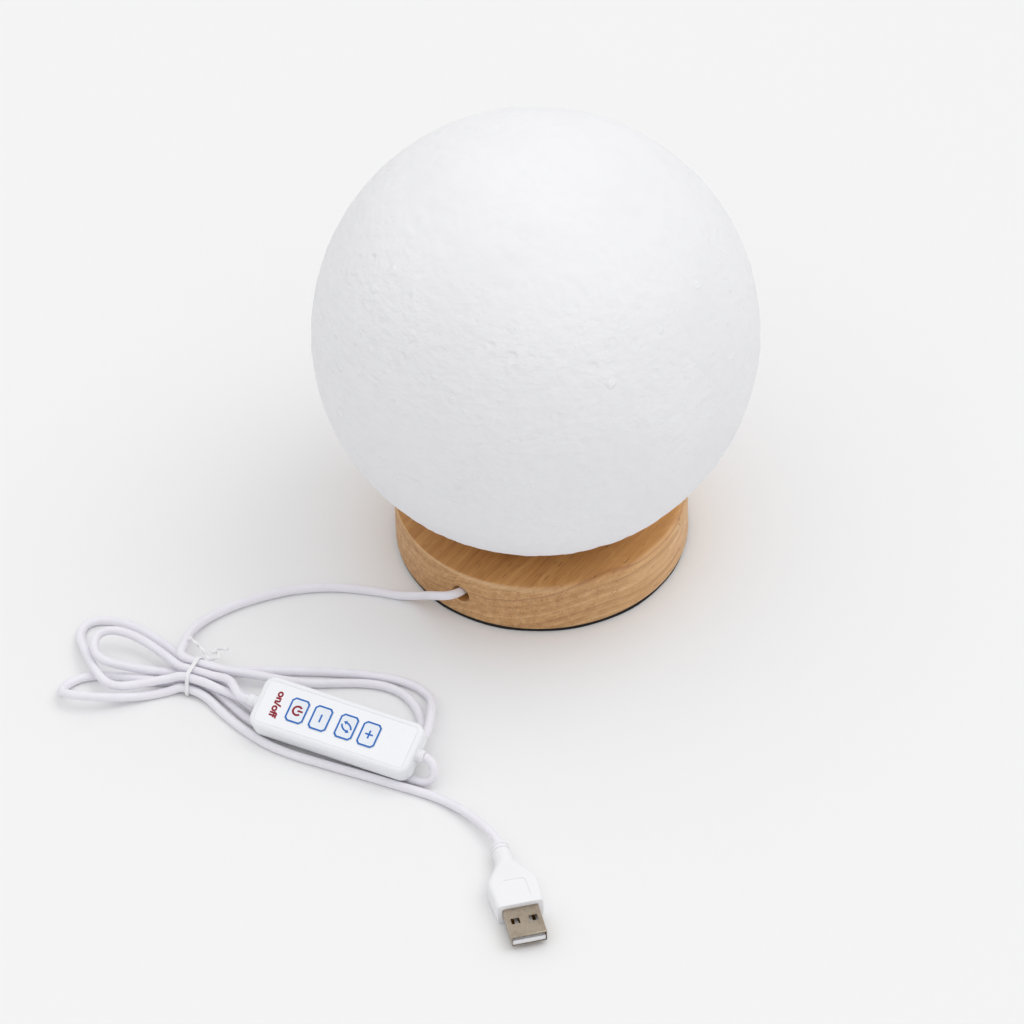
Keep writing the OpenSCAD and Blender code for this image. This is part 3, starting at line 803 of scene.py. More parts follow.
        # Painted light: the wood is made paler towards the right side, and a painted highlight lies
        # on its crisp upper edge at the left
        spot = w.put("ShaderNodeSeparateXYZ", {0: w.in_mm(where)}).outputs[0]
        colour = w.mix(w.remap(spot, *self.light_side_from, 0.0, self.light_side_share), colour, w.mix(
            1.0, colour, self.light_side_tint, "MULTIPLY"))
        # Painted highlight along the rounded upper edge at the left
        bevel = w.times(w.remap(lift, 0.15, 0.5), w.remap(lift, 0.97, 0.75))
        lit = w.remap(spot, *self.rim_highlight_from, 0.0, self.rim_highlight_share)
        colour = w.mix(w.times(bevel, lit), colour, self.rim)
        pits = w.math("MAXIMUM", dash, speck)
        rough = w.plus(0.46, w.plus(w.times(across, 0.14), w.times(w.minus(streaks, 0.5), 0.25)))
        height = w.minus(w.times(fibre, 0.4), pits)
        wire_in(w, shader, colour, rough, height, self.relief_mm, 0.8)
        shader.inputs["Coat Weight"].default_value = 0.1
        shader.inputs["Coat Roughness"].default_value = 0.35
        return made


@dataclass(frozen=True)
class MoonPlastic:
    """White printed plastic of the globe: matt, slightly lilac, rough with a fine relief."""

    name: str = "moon_plastic"
    high: Colour = srgb(244, 244, 247)
    low: Colour = srgb(239, 239, 242)
    # Painted highlight of the mounds
    bright: Colour = srgb(251, 251, 252)
    relief_mm: float = 0.66
    # Cells for each metre along x, y and z
    lump_cells: tuple[float, float, float] = (270.0, 270.0, 400.0)
    layer_cells: tuple[float, float, float] = (260.0, 260.0, 900.0)
    smooth_above: float = 160.0
    rough_below: float = 134.0
    # Place and radius of the mounds that stand out, in millimetres
    mounds: tuple = (
        ((23.8, -62.6, 126.3), 2.3), ((-28.2, -63.0, 121.8), 1.5), ((-46.3, -25.5, 145.7), 2.4),
        ((-52.5, -26.6, 139.0), 2.0), ((53.4, -28.4, 136.9), 2.2), ((40.5, -47.0, 134.6), 1.6))

    def pits(self, w: Wiring, where: bpy.types.NodeSocket, size: float, kept: float
             ) -> bpy.types.NodeSocket:
        """Small craters with a raised rim, as a height around zero.

        Args:
            w: wiring of the material.
            where: object coordinates.
            size: spacing in millimetres.
            kept: share of the cells that have one.

        Returns:
            Height, from -1 in a pit to about 0.6 on its rim.
        """
        cells = w.put("ShaderNodeTexVoronoi", {"Vector": where, "Scale": 1000 / size,
                                               "Randomness": 0.9})
        chance = w.put("ShaderNodeSeparateColor", {0: cells.outputs["Color"]})
        reach = w.remap(chance.outputs[1], 0.0, 1.0, 0.22, 0.42, "LINEAR")
        out = w.math("DIVIDE", cells.outputs["Distance"], reach)
        rim = w.times(w.remap(out, 0.45, 0.95), w.remap(out, 1.6, 1.0))
        pit = w.remap(out, 0.8, 0.15)
        shape = w.minus(w.times(rim, 0.6), pit)
        return w.times(shape, w.remap(chance.outputs[0], 1 - kept, 1.15 - kept))

    def mound(self, w: Wiring, where: bpy.types.NodeSocket, at: Sequence[float], size: float
              ) -> bpy.types.NodeSocket:
        """One raised mound with a small pit on top, as a height.

        Args:
            w: wiring of the material.
            where: object coordinates.
            at: its place in millimetres.
            size: its radius in millimetres.

        Returns:
            Height, up to 1.
        """
        away = w.put("ShaderNodeVectorMath", {0: where, 1: tuple(c * MM for c in at)},
                     operation="DISTANCE").outputs["Value"]
        out = w.math("DIVIDE", away, size * MM)
        return w.minus(w.remap(out, 1.0, 0.2), w.remap(out, 0.3, 0.05, 0.0, 0.35))

    def material(self) -> bpy.types.Material:
        """Builds the material."""
        made, w, shader = begin_material(self.name)
        where = w.put("ShaderNodeTexCoord").outputs["Object"]
        relief = w.put("ShaderNodeAttribute", attribute_name="relief",
                       attribute_type="GEOMETRY").outputs["Fac"]
        cloud = w.noise(where, 22.0, 3.0, 0.55)
        # Painted shade: the colour darkens in the relief's hollows, with a slight painted highlight
        # on its rises
        hollow_shade = w.remap(relief, -0.5, 0.2, -0.2, 0.1, "LINEAR")
        tone = w.plus(w.remap(cloud, 0.3, 0.65, 0.2, 0.9), hollow_shade, clamp=True)
        # Rough highlands lie in a belt round the side; the top is smooth
        place = w.put("ShaderNodeSeparateXYZ", {0: w.in_mm(where)}).outputs
        belt = w.times(w.remap(place[2], self.smooth_above, self.rough_below, 0.1, 1.0),
                       w.remap(place[0], 55.0, -50.0, 0.7, 1.35))
        rugged = w.times(w.remap(w.noise(where, 21.0, 2.0, 0.5), 0.36, 0.6, 0.55, 1.0), belt)
        lumps = w.noise(w.scaled(where, self.lump_cells), 1.0, 4.0, 0.54)
        layer = w.noise(w.scaled(where, self.layer_cells), 1.0, 3.0, 0.6)
        large, small = self.pits(w, where, 6.5, 0.3), self.pits(w, where, 3.1, 0.45)
        height = w.plus(w.times(lumps, 1.4), w.plus(w.times(large, 0.32), w.times(small, 0.12)))
        height = w.plus(w.times(height, rugged), w.times(layer, 0.12))
        colour = w.mix(tone, self.low, self.high)
        # Each mound is also painted brighter: a painted highlight on its raised relief
        for at, size in self.mounds:
            raised = self.mound(w, where, at, size)
            height = w.plus(height, w.times(raised, 0.5))
            colour = w.mix(w.times(raised, 0.55, clamp=True), colour, self.bright)
        rough = w.remap(cloud, 0.2, 0.8, 0.62, 0.78, "LINEAR")
        wire_in(w, shader, colour, rough, height, self.relief_mm, 1.0)
        shader.inputs["Specular IOR Level"].default_value = 0.3
        shader.inputs["Subsurface Weight"].default_value = 0.12
        shader.inputs["Subsurface Radius"].default_value = (1.0, 0.95, 0.9)
        shader.inputs["Subsurface Scale"].default_value = 0.0008
        return made


@dataclass(frozen=True)
class CordJacket:
    """Soft white PVC of the cord, read along its own map."""

    name: str = "cord_jacket"
    colour: Colour = srgb(240, 238, 245)
    soiled: Colour = srgb(229, 226, 234)

    def material(self) -> bpy.types.Material:
        """Builds the material."""
        made, w, shader = begin_material(self.name)
        where = w.put("ShaderNodeTexCoord").outputs["Object"]
        along = w.put("ShaderNodeUVMap", uv_map="along").outputs[0]
        draw = w.put("ShaderNodeGroup", {"Vector": w.scaled(along, (30, 9, 1))},
                     node_tree=drawn_lines())
        draw.inputs["Roughness"].default_value = 0.42
        draw.inputs["Spread"].default_value = 0.22
        marks = w.put("ShaderNodeGroup", {"Vector": where}, node_tree=handling_marks())
        marks.inputs["Size"].default_value = 9.0
        marks.inputs["Amount"].default_value = 0.5
        wire_in(w, shader, w.mix(marks.outputs["Mask"], self.colour, self.soiled),
                draw.outputs["Roughness"], draw.outputs["Height"], 0.02)
        shader.inputs["Subsurface Weight"].default_value = 0.08
        shader.inputs["Subsurface Radius"].default_value = (1.0, 0.9, 0.85)
        shader.inputs["Subsurface Scale"].default_value = 0.001
        return made


@dataclass(frozen=True)
class FoamPad:
    """Black open foam with small cells."""

    name: str = "foam_pad"
    colour: Colour = srgb(11, 11, 12)
    dust: Colour = srgb(28, 27, 27)

    def material(self) -> bpy.types.Material:
        """Builds the material."""
        made, w, shader = begin_material(self.name)
        cells = w.put("ShaderNodeTexVoronoi", {"Vector": w.stretched((0.5, 0.5, 0.5)),
                                               "Scale": 1.0}).outputs["Distance"]
        dust = w.remap(w.noise(w.stretched((3, 3, 3)), 1.0, 4.0, 0.65), 0.5, 0.75, 0.0, 0.7)
        wire_in(w, shader, w.mix(dust, self.colour, self.dust),
                w.remap(cells, 0.0, 0.7, 0.98, 0.8), cells, 0.2)
        return made


@dataclass(frozen=True)
class BoardLaminate:
    """Printed circuit board: coloured mask over copper tracks."""

    name: str
    mask: Colour
    track: Colour
    roughness: float = 0.38
    track_mm: tuple[float, float, float] = (3.4, 3.4, 3.4)

    def material(self) -> bpy.types.Material:
        """Builds the material."""
        made, w, shader = begin_material(self.name)
        cells = w.put("ShaderNodeTexVoronoi", {
            "Vector": w.stretched(self.track_mm), "Scale": 1.0},
            feature="DISTANCE_TO_EDGE").outputs["Distance"]
        tracks = w.remap(cells, 0.10, 0.14)
        weave = w.noise(w.stretched((0.4, 0.4, 0.4)), 1.0, 2.0, 0.5)
        rough = w.plus(self.roughness, w.times(weave, 0.15))
        height = w.plus(tracks, w.times(weave, 0.3))
        wire_in(w, shader, w.mix(tracks, self.mask, self.track), rough, height, 0.03)
        return made


class Finishes:
    """Every finish of the lamp, by the slot of the record that it belongs to."""

    def __init__(self) -> None:
        """Builds all the materials."""
        self.by_slot: dict[Slot, bpy.types.Material] = {
            Slot.WOOD: TurnedWood().material(),
            Slot.FOAM: FoamPad().material(),
            Slot.SHADE: MoonPlastic().material(),
            Slot.CORD: CordJacket().material(),
            Slot.WHITE: Moulded("white_plastic", srgb(241, 241, 244), srgb(233, 232, 233), 0.42,
                                translucent=0.05).material(),
            Slot.CONTROL: Moulded("control_shell", srgb(243, 242, 247), srgb(235, 233, 239), 0.36,
                                  0.16, 0.3, 0.008, 0.5, 10.0).material(),
            Slot.LABEL: Moulded("label_film", srgb(247, 248, 252), srgb(241, 242, 248), 0.3, 0.12,
                                0.22, 0.004, 0.35, 14.0, coat=0.25).material(),
            Slot.KEY: Moulded("key_film", srgb(201, 205, 220), srgb(193, 198, 214), 0.34, 0.14,
                              0.25, 0.005, 0.4, 5.0, coat=0.2).material(),
            Slot.TIE: Moulded("tie_film", srgb(236, 235, 241), srgb(222, 220, 228), 0.3, 0.2,
                              0.3, 0.01, 0.4, 5.0, coat=0.3).material(),
            Slot.BLACK: Moulded("black_plastic", srgb(30, 30, 32), srgb(52, 51, 50), 0.4, 0.2,
                                0.3, 0.01, 0.5, 4.0).material(),
            Slot.CHIP: Moulded("light_chip", srgb(238, 224, 150), srgb(226, 204, 118), 0.35, 0.15,
                               0.3, 0.01, 0.6, 2.0).material(),
            Slot.STEEL: Metal("screw_steel", srgb(196, 195, 193), srgb(168, 166, 162), 0.28,
                              lines_mm=(0.2, 0.2, 0.2)).material(),
            Slot.NICKEL: Metal("nickel_shell", srgb(178, 165, 148), srgb(162, 149, 132), 0.24,
                               0.2, (0.12, 3.0, 0.12)).material(),
            Slot.GOLD: Metal("contact_gold", srgb(222, 184, 104), srgb(200, 158, 80),
                             0.25).material(),
            Slot.BOARD_WHITE: BoardLaminate("white_board", srgb(232, 234, 231),
                                            srgb(218, 221, 216)).material(),
            Slot.BOARD_GREEN: BoardLaminate("green_board", srgb(24, 92, 52),
                                            srgb(40, 122, 70)).material(),
        }
        self.blue_ink = Moulded("blue_ink", srgb(6, 104, 190), srgb(24, 118, 198), 0.35, 0.1,
                                0.2, 0.003, 0.5, 2.0).material()
        self.red_ink = Moulded("red_ink", srgb(146, 2, 36), srgb(160, 20, 50), 0.35, 0.1,
                               0.2, 0.003, 0.5, 2.0).material()

    def __getitem__(self, slot: Slot) -> bpy.types.Material:
        """The finish of a slot."""
        return self.by_slot[slot]


# ---- Studio ----


@dataclass
class Studio:
    """Camera of the photograph, pale floor and soft light."""

    target: tuple[float, float, float] = (-10.1, 0.0, 8.7)
    elevation: float = 44.24
    distance: float = 2732.0
    roll: float = -2.09
    lens: float = 281.25
    floor_tone: Colour = (0.875, 0.875, 0.878, 1.0)
    sky_level: float = 0.37
    sky_zenith: float = 0.83
    sun: float = 0.42
    sun_spread: float = 40.0
    sun_from: tuple[float, float, float] = (0.6, 0.1, 1.0)
    floor_radius: float = 7000.0
    floor_depth: float = 20.0
    floor_uneven: float = 0.003

    def camera(self) -> None:
        """Sets up the camera at the photograph's angle."""
        e, r = math.radians(self.elevation), math.radians(self.roll)
        back = Vector((0, -math.cos(e), math.sin(e)))
        right, up = Vector((1, 0, 0)), Vector((0, math.sin(e), math.cos(e)))
        axes = (math.cos(r) * right + math.sin(r) * up, math.cos(r) * up - math.sin(r) * right,
                back)
        data = bpy.data.cameras.new("photo_camera")
        data.lens, data.sensor_width, data.clip_start, data.clip_end = self.lens, 36, 0.1, 30
        cam = bpy.data.objects.new("photo_camera", data)
        bpy.context.scene.collection.objects.link(cam)
        cam.matrix_world = Matrix.Translation((Vector(self.target) + back * self.distance) * MM
                                              ) @ Matrix(axes).transposed().to_4x4()
        bpy.context.scene.camera = cam

    def floor(self) -> None:
        """Lays the floor: a wide pale disc with a faint unevenness."""
        rim = self.floor_radius
        points, faces = revolved([(rim, -self.floor_depth), (rim, 0)], 96)
        disc = new_object("studio_floor", points, faces)
        made, w, shader = begin_material("studio_floor")
        uneven = w.noise(w.stretched((180, 180, 180)), 1.0, 2.0, 0.5)
        dim, bright = ((*(c * share for c in self.floor_tone[:3]), 1.0)
                       for share in (1 - self.floor_uneven, 1 + self.floor_uneven))
        wire_in(w, shader, w.mix(uneven, dim, bright))
        shader.inputs["Roughness"].default_value = 1.0
        shader.inputs["Specular IOR Level"].default_value = 0.0
        disc.data.materials.append(made)

    def world(self) -> None:
        """Lights the room softly, brighter overhead, and shows the floor's colour behind it."""
        world = bpy.data.worlds.new("studio")
        bpy.context.scene.world = world
        world.use_nodes = True
        tree = world.node_tree
        tree.nodes.clear()
        w = Wiring(tree)
        path = w.put("ShaderNodeLightPath")
        mirrored = w.plus(path.outputs["Is Glossy Ray"], path.outputs["Is Transmission Ray"])
        seen = w.plus(path.outputs["Is Camera Ray"], mirrored, clamp=True)
        height = w.put("ShaderNodeSeparateXYZ", {0: w.put(
            "ShaderNodeTexCoord").outputs["Generated"]}).outputs[2]
        overhead = w.times(w.math("MAXIMUM", height, 0.0), self.sky_zenith)
        glow = w.plus(self.sky_level, overhead)
        light = w.put("ShaderNodeBackground", {"Color": (1, 1, 1, 1), "Strength": glow})
        wall = w.put("ShaderNodeBackground", {"Color": self.floor_tone, "Strength": 1.0})
        both = w.put("ShaderNodeMixShader", {0: seen, 1: light.outputs[0], 2: wall.outputs[0]})
        w.put("ShaderNodeOutputWorld", {"Surface": both.outputs[0]})

    def sun_lamp(self) -> None:
        """Adds a wide, weak sun from the right, which falls evenly everywhere."""
        data = bpy.data.lights.new("soft_sun", "SUN")
        data.energy, data.angle, data.color = self.sun, math.radians(self.sun_spread), (1, 1, 1)
        lamp = bpy.data.objects.new("soft_sun", data)
        bpy.context.scene.collection.objects.link(lamp)
        lamp.rotation_euler = Vector(self.sun_from).to_track_quat("Z", "Y").to_euler()

    def build(self) -> None:
        """Sets the stage round the object."""
        self.floor()
        self.world()
        self.sun_lamp()
        bpy.context.scene.view_settings.view_transform = "Standard"
        log.info("studio: floor, world and a wide sun")


# ---- Cords ----


def ramp_up(t: Points, low: float, high: float) -> Points:
    """Smooth step from 0 at low to 1 at high."""
    x = np.clip((t - low) / (high - low), 0, 1)
    return x * x * (3 - 2 * x)


def bump_at(t: Points, centre: float, width: float) -> Points:
    """Smooth hump of height 1."""
    return np.where(np.abs(t - centre) < width, (1 + np.cos(np.pi * (t - centre) / width)) / 2, 0)


@dataclass(frozen=True)
class TieFrame:
    """Where the tie holds the bundle, and the places of the strands in it."""

    at: tuple[float, float] = (-118.0, -68.0)
    turn: float = -25.0
    grip: float = 3.0
    lift: float = 0.8
    floor_z: float = 1.5
    upper_z: float = 5.15

    def point(self, along: object, across: object, z: object) -> Points:
        """Points given along the bundle, across it and above the floor."""
        c, s = math.cos(math.radians(self.turn)), math.sin(math.radians(self.turn))
        along, across, z = np.broadcast_arrays(along, across, z)
        return np.stack([self.at[0] + along * c - across * s, self.at[1] + along * s + across * c,
                         z], axis=-1)


@dataclass(frozen=True)
class Loop:
    """One loop of the bundle: out of the tie and back into it."""

    side: int
    first: float
    last: float
    reach: float
    width: float
    lean: float
    far_lean: float
    skew: float
    bulge: float
    twist: float
    height: Callable[[Points], Points]

    def points(self, tie: TieFrame, count: int) -> Points:
        """Points along the loop.

        Args:
            tie: the frame that the loop is laid out in.
            count: number of steps.

        Returns:
            The points, from the first place in the tie to the last.
        """
        t = np.linspace(0, 1, count + 1)
        out = (1 - np.cos(2 * np.pi * t)) / 2
        s, s2 = np.sin(2 * np.pi * t) * out, np.sin(4 * np.pi * t) * out
        across = (self.first + (self.last - self.first) * ramp_up(t, 0.25, 0.75) + self.width * s
                  + self.lean * out + self.far_lean * out ** 2 + self.twist * s2)
        along = self.side * (tie.grip + self.reach * out + self.skew * s + self.bulge * s2)
        lift = tie.lift * (1 - ramp_up(out, 0, 0.12))
        return tie.point(along, across, self.height(t) + lift)


@dataclass
class Cords:
    """The white cord: base to controller through the bundle, and controller to plug."""

    diameter: float = 3.0
    step: float = 0.7
    soften: float = 1.6
    sides: int = 16
    rings: int = 110
    tie: TieFrame = field(default_factory=TieFrame)
    base_route: tuple = (
        (-17.2, -24.6, 9.2), (-19.5, -27.9, 9.2), (-22, -31.6, 9.7), (-24.4, -35.1, 10.4))
    lead_route: tuple = (
        (-26.8, -38.6, 11.2), (-28.5, -40.9, 12), (-30.4, -42.8, 12.8), (-33, -43.7, 13),
        (-35.4, -42.8, 12.2), (-37.4, -40.8, 10.4), (-39.2, -38.2, 8), (-41.6, -35.4, 5.2),
        (-44.9, -33, 3), (-49.2, -31.3, 1.7), (-55, -29.4, 1.5), (-62, -27.7, 1.5),
        (-70, -26.3, 1.5), (-79, -26.1, 1.5), (-88, -27.3, 1.5), (-97, -29.9, 1.5),
        (-105, -33.2, 1.5), (-112, -37.4, 1.6), (-117, -41.8, 2.1), (-120, -46.6, 3.1),
        (-121.4, -51.6, 4.5), (-122.2, -55.6, 5.7), (-123.1, -58.6, 6.5), (-123.3, -60.3, 6.8),
        (-122.7, -61.5, 6.8), (-121.6, -62.15, 6.4))
    return_route: tuple = (
        (-41.94, -115.74, 9.59), (-41.48, -115.98, 9.59), (-40.8, -116.3, 9.5),
        (-39.6, -117.4, 8.7), (-38.9, -118.9, 7), (-39.2, -120.1, 5), (-40.7, -120.5, 3.2),
        (-43, -119.7, 2), (-45.6, -118.3, 1.5), (-55.3, -113.3, 1.5), (-62.4, -109.6, 1.5),
        (-69.5, -106, 1.5), (-76.7, -102.3, 1.5), (-83.8, -98.6, 1.5), (-90.9, -95, 1.5),
        (-96.4, -91.2, 1.5), (-100.3, -87.8, 1.5), (-103.5, -84.2, 1.5), (-106.6, -80.1, 1.5),
        (-109.4, -76.5, 1.6), (-112.3, -73.5, 2.1))
    usb_route: tuple = (
        (-114.2, -77.4, 2), (-111.4, -80.9, 1.6), (-108.4, -84.9, 1.5), (-102.4, -91.8, 1.5),
        (-95.3, -98.5, 1.5), (-87.1, -103.8, 1.5), (-78, -108.2, 1.5), (-69, -112.3, 1.5),
        (-60, -116.3, 1.5), (-51, -120.5, 1.5), (-43, -124.2, 1.5), (-37.2, -127.6, 1.7),
        (-31.8, -132, 2.2), (-27.2, -136.8, 2.9), (-23.5, -141.6, 3.5), (-20.7, -146, 3.9),
        (-18.92, -149.44, 4.1), (-18.3, -152.37, 4.1))

    def loops(self) -> dict[str, Points]:
        """The five loops of the bundle, laid out as in the part's source."""
        low, top = self.tie.floor_z, self.tie.upper_z
        rise = top - low
        made = {
            "far_right": Loop(1, 3.8, -3.8, 76.1, 16.4, 4.2, 4.2, 0.7, 5.7, -2.1, lambda t: top
                              - rise * (ramp_up(t, 0.12, 0.24) - ramp_up(t, 0.8, 0.845))),
            "outer_left": Loop(-1, 5.7, -3.8, 40.6, 19.8, -5.8, 5.9, 5.8, -3, 3.5,
                               lambda t: low + rise * ramp_up(t, 0.44, 0.57)),
            "back_right": Loop(1, 5.7, 1.9, 80, 24.1, 33.6, -37.4, 35.8, 15.7, 5.9, lambda t: low
                               + 3.7 * (ramp_up(t, 0.3, 0.4) - ramp_up(t, 0.7, 0.82))),
            "inner_left": Loop(-1, 0, 1.9, 33.6, 12.7, -2.8, 0.3, -3.7, -2.6, -0.3, lambda t: top
                               + 3.7 * bump_at(t, 0.53, 0.35) - rise * ramp_up(t, 0.65, 0.88)),
            "front_left": Loop(-1, -1.9, -5.7, 36.6, 8.3, -22.5, 5.6, 0.9, 0.3, -0.4,
                               lambda t: low + 4.4 * bump_at(t, 0.65, 0.21)),
        }
        return {name: loop.points(self.tie, self.rings) for name, loop in made.items()}

    def lamp_path(self) -> Points:
        """Centreline from inside the base to the controller."""
        loops, tie = self.loops(), self.tie
        high = tie.upper_z + tie.lift
        tail = [tie.point(tie.grip, 0, high), tie.point(6.4, 0, high), tie.point(9.4, -0.2, 6.6),
                tie.point(12.2, -1.1, 7.7), tie.point(14.6, -2.8, 8.7), tie.point(16.8, -5.1, 9.3),
                tie.point(18.9, -7.2, 9.59), tie.point(20.9, -8.5, 9.59),
                tie.point(23.81, -8.61, 9.59)]
        points = np.vstack([
            self.base_route, self.lead_route, tie.point(-tie.grip, 3.8, high), loops["far_right"],
            loops["outer_left"][::-1], loops["back_right"], loops["inner_left"][::-1], tail])
        return smooth_path(points, self.step, self.soften)

    def usb_path(self) -> Points:
        """Centreline from the controller through the bundle to the plug."""
        tie = self.tie
        low = tie.floor_z + tie.lift
        points = np.vstack([
            self.return_route, tie.point(tie.grip, -1.9, low), self.loops()["front_left"],
            tie.point(tie.grip, -5.7, low), self.usb_route])
        return smooth_path(points, self.step, self.soften)

    def build(self, name: str, path: Points, finish: bpy.types.Material, nodes: Sequence[str]
              ) -> bpy.types.Object:
        """Makes one stretch of cord.

        Args:
            name: name of the piece.
            path: its centreline.
            finish: its material.
            nodes: CAD nodes that it stands for.

        Returns:
            The piece.
        """
        points, faces, corners = tube(path, lambda share: self.diameter / 2, self.sides)
        cord = new_object(name, points, faces, 60)
        add_uv(cord, corners)
        return enlist(cord, Body.BASE, Slot.CORD, finish, *nodes)


# ---- Globe ----


@dataclass
class Globe:
    """Thin moon globe: a turned shell with a lip, under a crater relief from Geometry Nodes."""

    radius: float = 75.0
    wall: float = 1.8
    mouth: float = 21.0
    lip: float = 1.8
    lip_height: float = 7.0
    foot: float = 20.7
    centre: float = 92.5
    around: int = 448
    rows: int = 190
    inner_around: int = 112
    inner_rows: int = 40
    fewest: int = 28
    least_edge: float = 0.6
    crater_depth: float = 1.0
    grain_depth: float = 0.9
    seed: float = 3.0
    # Spacing, depth, share of cells left plain and shift of each size of crater
    craters: tuple = ((19.0, 0.6, 0.74, 11.0), (9.5, 0.55, 0.62, 23.0), (5.8, 0.42, 0.45, 37.0))

    def skin(self) -> tuple[Points, Faces, Points]:
        """Turns the shell: inner skin from its top down, lip, foot, then up the outside.

        Returns:
            Vertices, faces and how much of the relief each vertex takes.
        """
        inner_r = self.radius - self.wall
        low = math.acos((self.centre - self.foot) / self.radius)
        inner_low = math.asin((self.mouth + self.lip) / inner_r)
        profile: list[tuple[float, float, int, float]] = []
        for i in range(1, self.inner_rows + 1):
            a = math.pi - (math.pi - inner_low) * i / self.inner_rows
            profile.append((inner_r * math.sin(a), self.centre - inner_r * math.cos(a),
                            self.inner_around, 0.0))
        lip_top, turn = self.foot + self.lip_height, 0.4
        for r, z in ((self.mouth + self.lip, lip_top - turn), (self.mouth + self.lip - turn,
                     lip_top), (self.mouth + turn, lip_top), (self.mouth, lip_top - turn)):
            profile.append((r, z, self.inner_around, 0.0))
        profile.append((self.mouth, self.foot + 0.2, self.around, 0.0))
        profile.append((self.mouth + 0.2, self.foot, self.around, 0.0))
        count = self.around
        for i in range(self.rows):
            a = low + (math.pi - low) * i / self.rows
            fade = min(1.0, i / 4)
            r = self.radius * math.sin(a)
            edge = 2 * math.pi * r / count
            while a > math.pi / 2 and count > self.fewest and edge < self.least_edge:
                count, edge = count // 2, edge * 2
            profile.append((r, self.centre - self.radius * math.cos(a), count, fade))
        points, mask, faces, starts = [], [], [], []
        for r, z, n, share in profile:
            starts.append(len(points))
            points += at_height(circle(r, n), z).tolist()
            mask += [share] * n
        for k in range(len(profile) - 1):
            a, b, n, m = starts[k], starts[k + 1], profile[k][2], profile[k + 1][2]
            below, above = max(1, n // m), max(1, m // n)
            for j in range(min(n, m)):
                lower = [a + (j * below + q) % n for q in range(below + 1)]
                upper = [b + (j * above + q) % m for q in range(above, -1, -1)]
                faces.append((*lower, *upper))
        for start, n, z, outside in ((starts[0], self.inner_around, self.centre + inner_r, False),
                                     (starts[-1], count, self.centre + self.radius, True)):
            points.append([0.0, 0.0, z])
            mask.append(float(outside))
            pole = len(points) - 1
            for j in range(n):
                pair = (start + j, start + (j + 1) % n)
                faces.append((*pair, pole) if outside else (pair[1], pair[0], pole))
        return np.array(points), faces, np.array(mask)

    def relief_tree(self) -> bpy.types.NodeTree:
        """Builds the Geometry Nodes tree of the relief.

        Returns:
            The tree, with named inputs for its sizes and a fixed seed.
        """
        tree = bpy.data.node_groups.new("moon_relief", "GeometryNodeTree")
        new = tree.interface.new_socket
        new("Geometry", in_out="INPUT", socket_type="NodeSocketGeometry")
        for name, default in (("Crater depth", self.crater_depth),
                              ("Grain depth", self.grain_depth), ("Seed", self.seed)):
            new(name, in_out="INPUT", socket_type="NodeSocketFloat").default_value = default
        new("Finish", in_out="INPUT", socket_type="NodeSocketMaterial")
        new("Geometry", in_out="OUTPUT", socket_type="NodeSocketGeometry")
        w = Wiring(tree)
        given = tree.nodes.new("NodeGroupInput").outputs
        place = w.put("GeometryNodeInputPosition").outputs[0]
        shift = w.put("ShaderNodeCombineXYZ", {0: given["Seed"], 1: given["Seed"]}).outputs[0]
        place = w.vector("ADD", w.in_mm(place), shift)
        layers = [self.crater_layer(w, place, *sizes) for sizes in self.craters]
        craters = layers[0]
        for layer in layers[1:]:
            craters = w.plus(craters, layer)
        plains = w.remap(w.noise(place, 0.022, 3.0, 0.55), 0.4, 0.62, 0.45, 1.0)
        grain = w.minus(w.noise(place, 0.2, 4.0, 0.6), 0.5)
        swell = w.minus(w.noise(place, 0.03, 2.0, 0.5), 0.5)
        craters = w.times(w.times(craters, plains), given["Crater depth"])
        height = w.plus(craters, w.plus(w.times(grain, given["Grain depth"]),
                                        w.times(swell, 0.6)))
        share = w.put("GeometryNodeInputNamedAttribute", {0: "outside"}, data_type="FLOAT")
        height = w.math("MAXIMUM", w.math("MINIMUM", height, 0.35), -1.0)
        height = w.times(height, share.outputs[0])
        normal = w.put("GeometryNodeInputNormal").outputs[0]
        push = w.put("ShaderNodeVectorMath", {0: normal, "Scale": w.times(height, MM)},
                     operation="SCALE").outputs[0]
        kept = w.put("GeometryNodeStoreNamedAttribute", {
            "Geometry": given["Geometry"], "Name": "relief", "Value": height},
            data_type="FLOAT", domain="POINT")
        moved = w.put("GeometryNodeSetPosition", {"Geometry": kept.outputs[0], "Offset": push})
        real = w.put("GeometryNodeRealizeInstances", {"Geometry": moved.outputs[0]})
        done = w.put("GeometryNodeSetMaterial", {"Geometry": real.outputs[0],
                                                 "Material": given["Finish"]})
        w.put("NodeGroupOutput", {"Geometry": done.outputs[0]})
        return tree

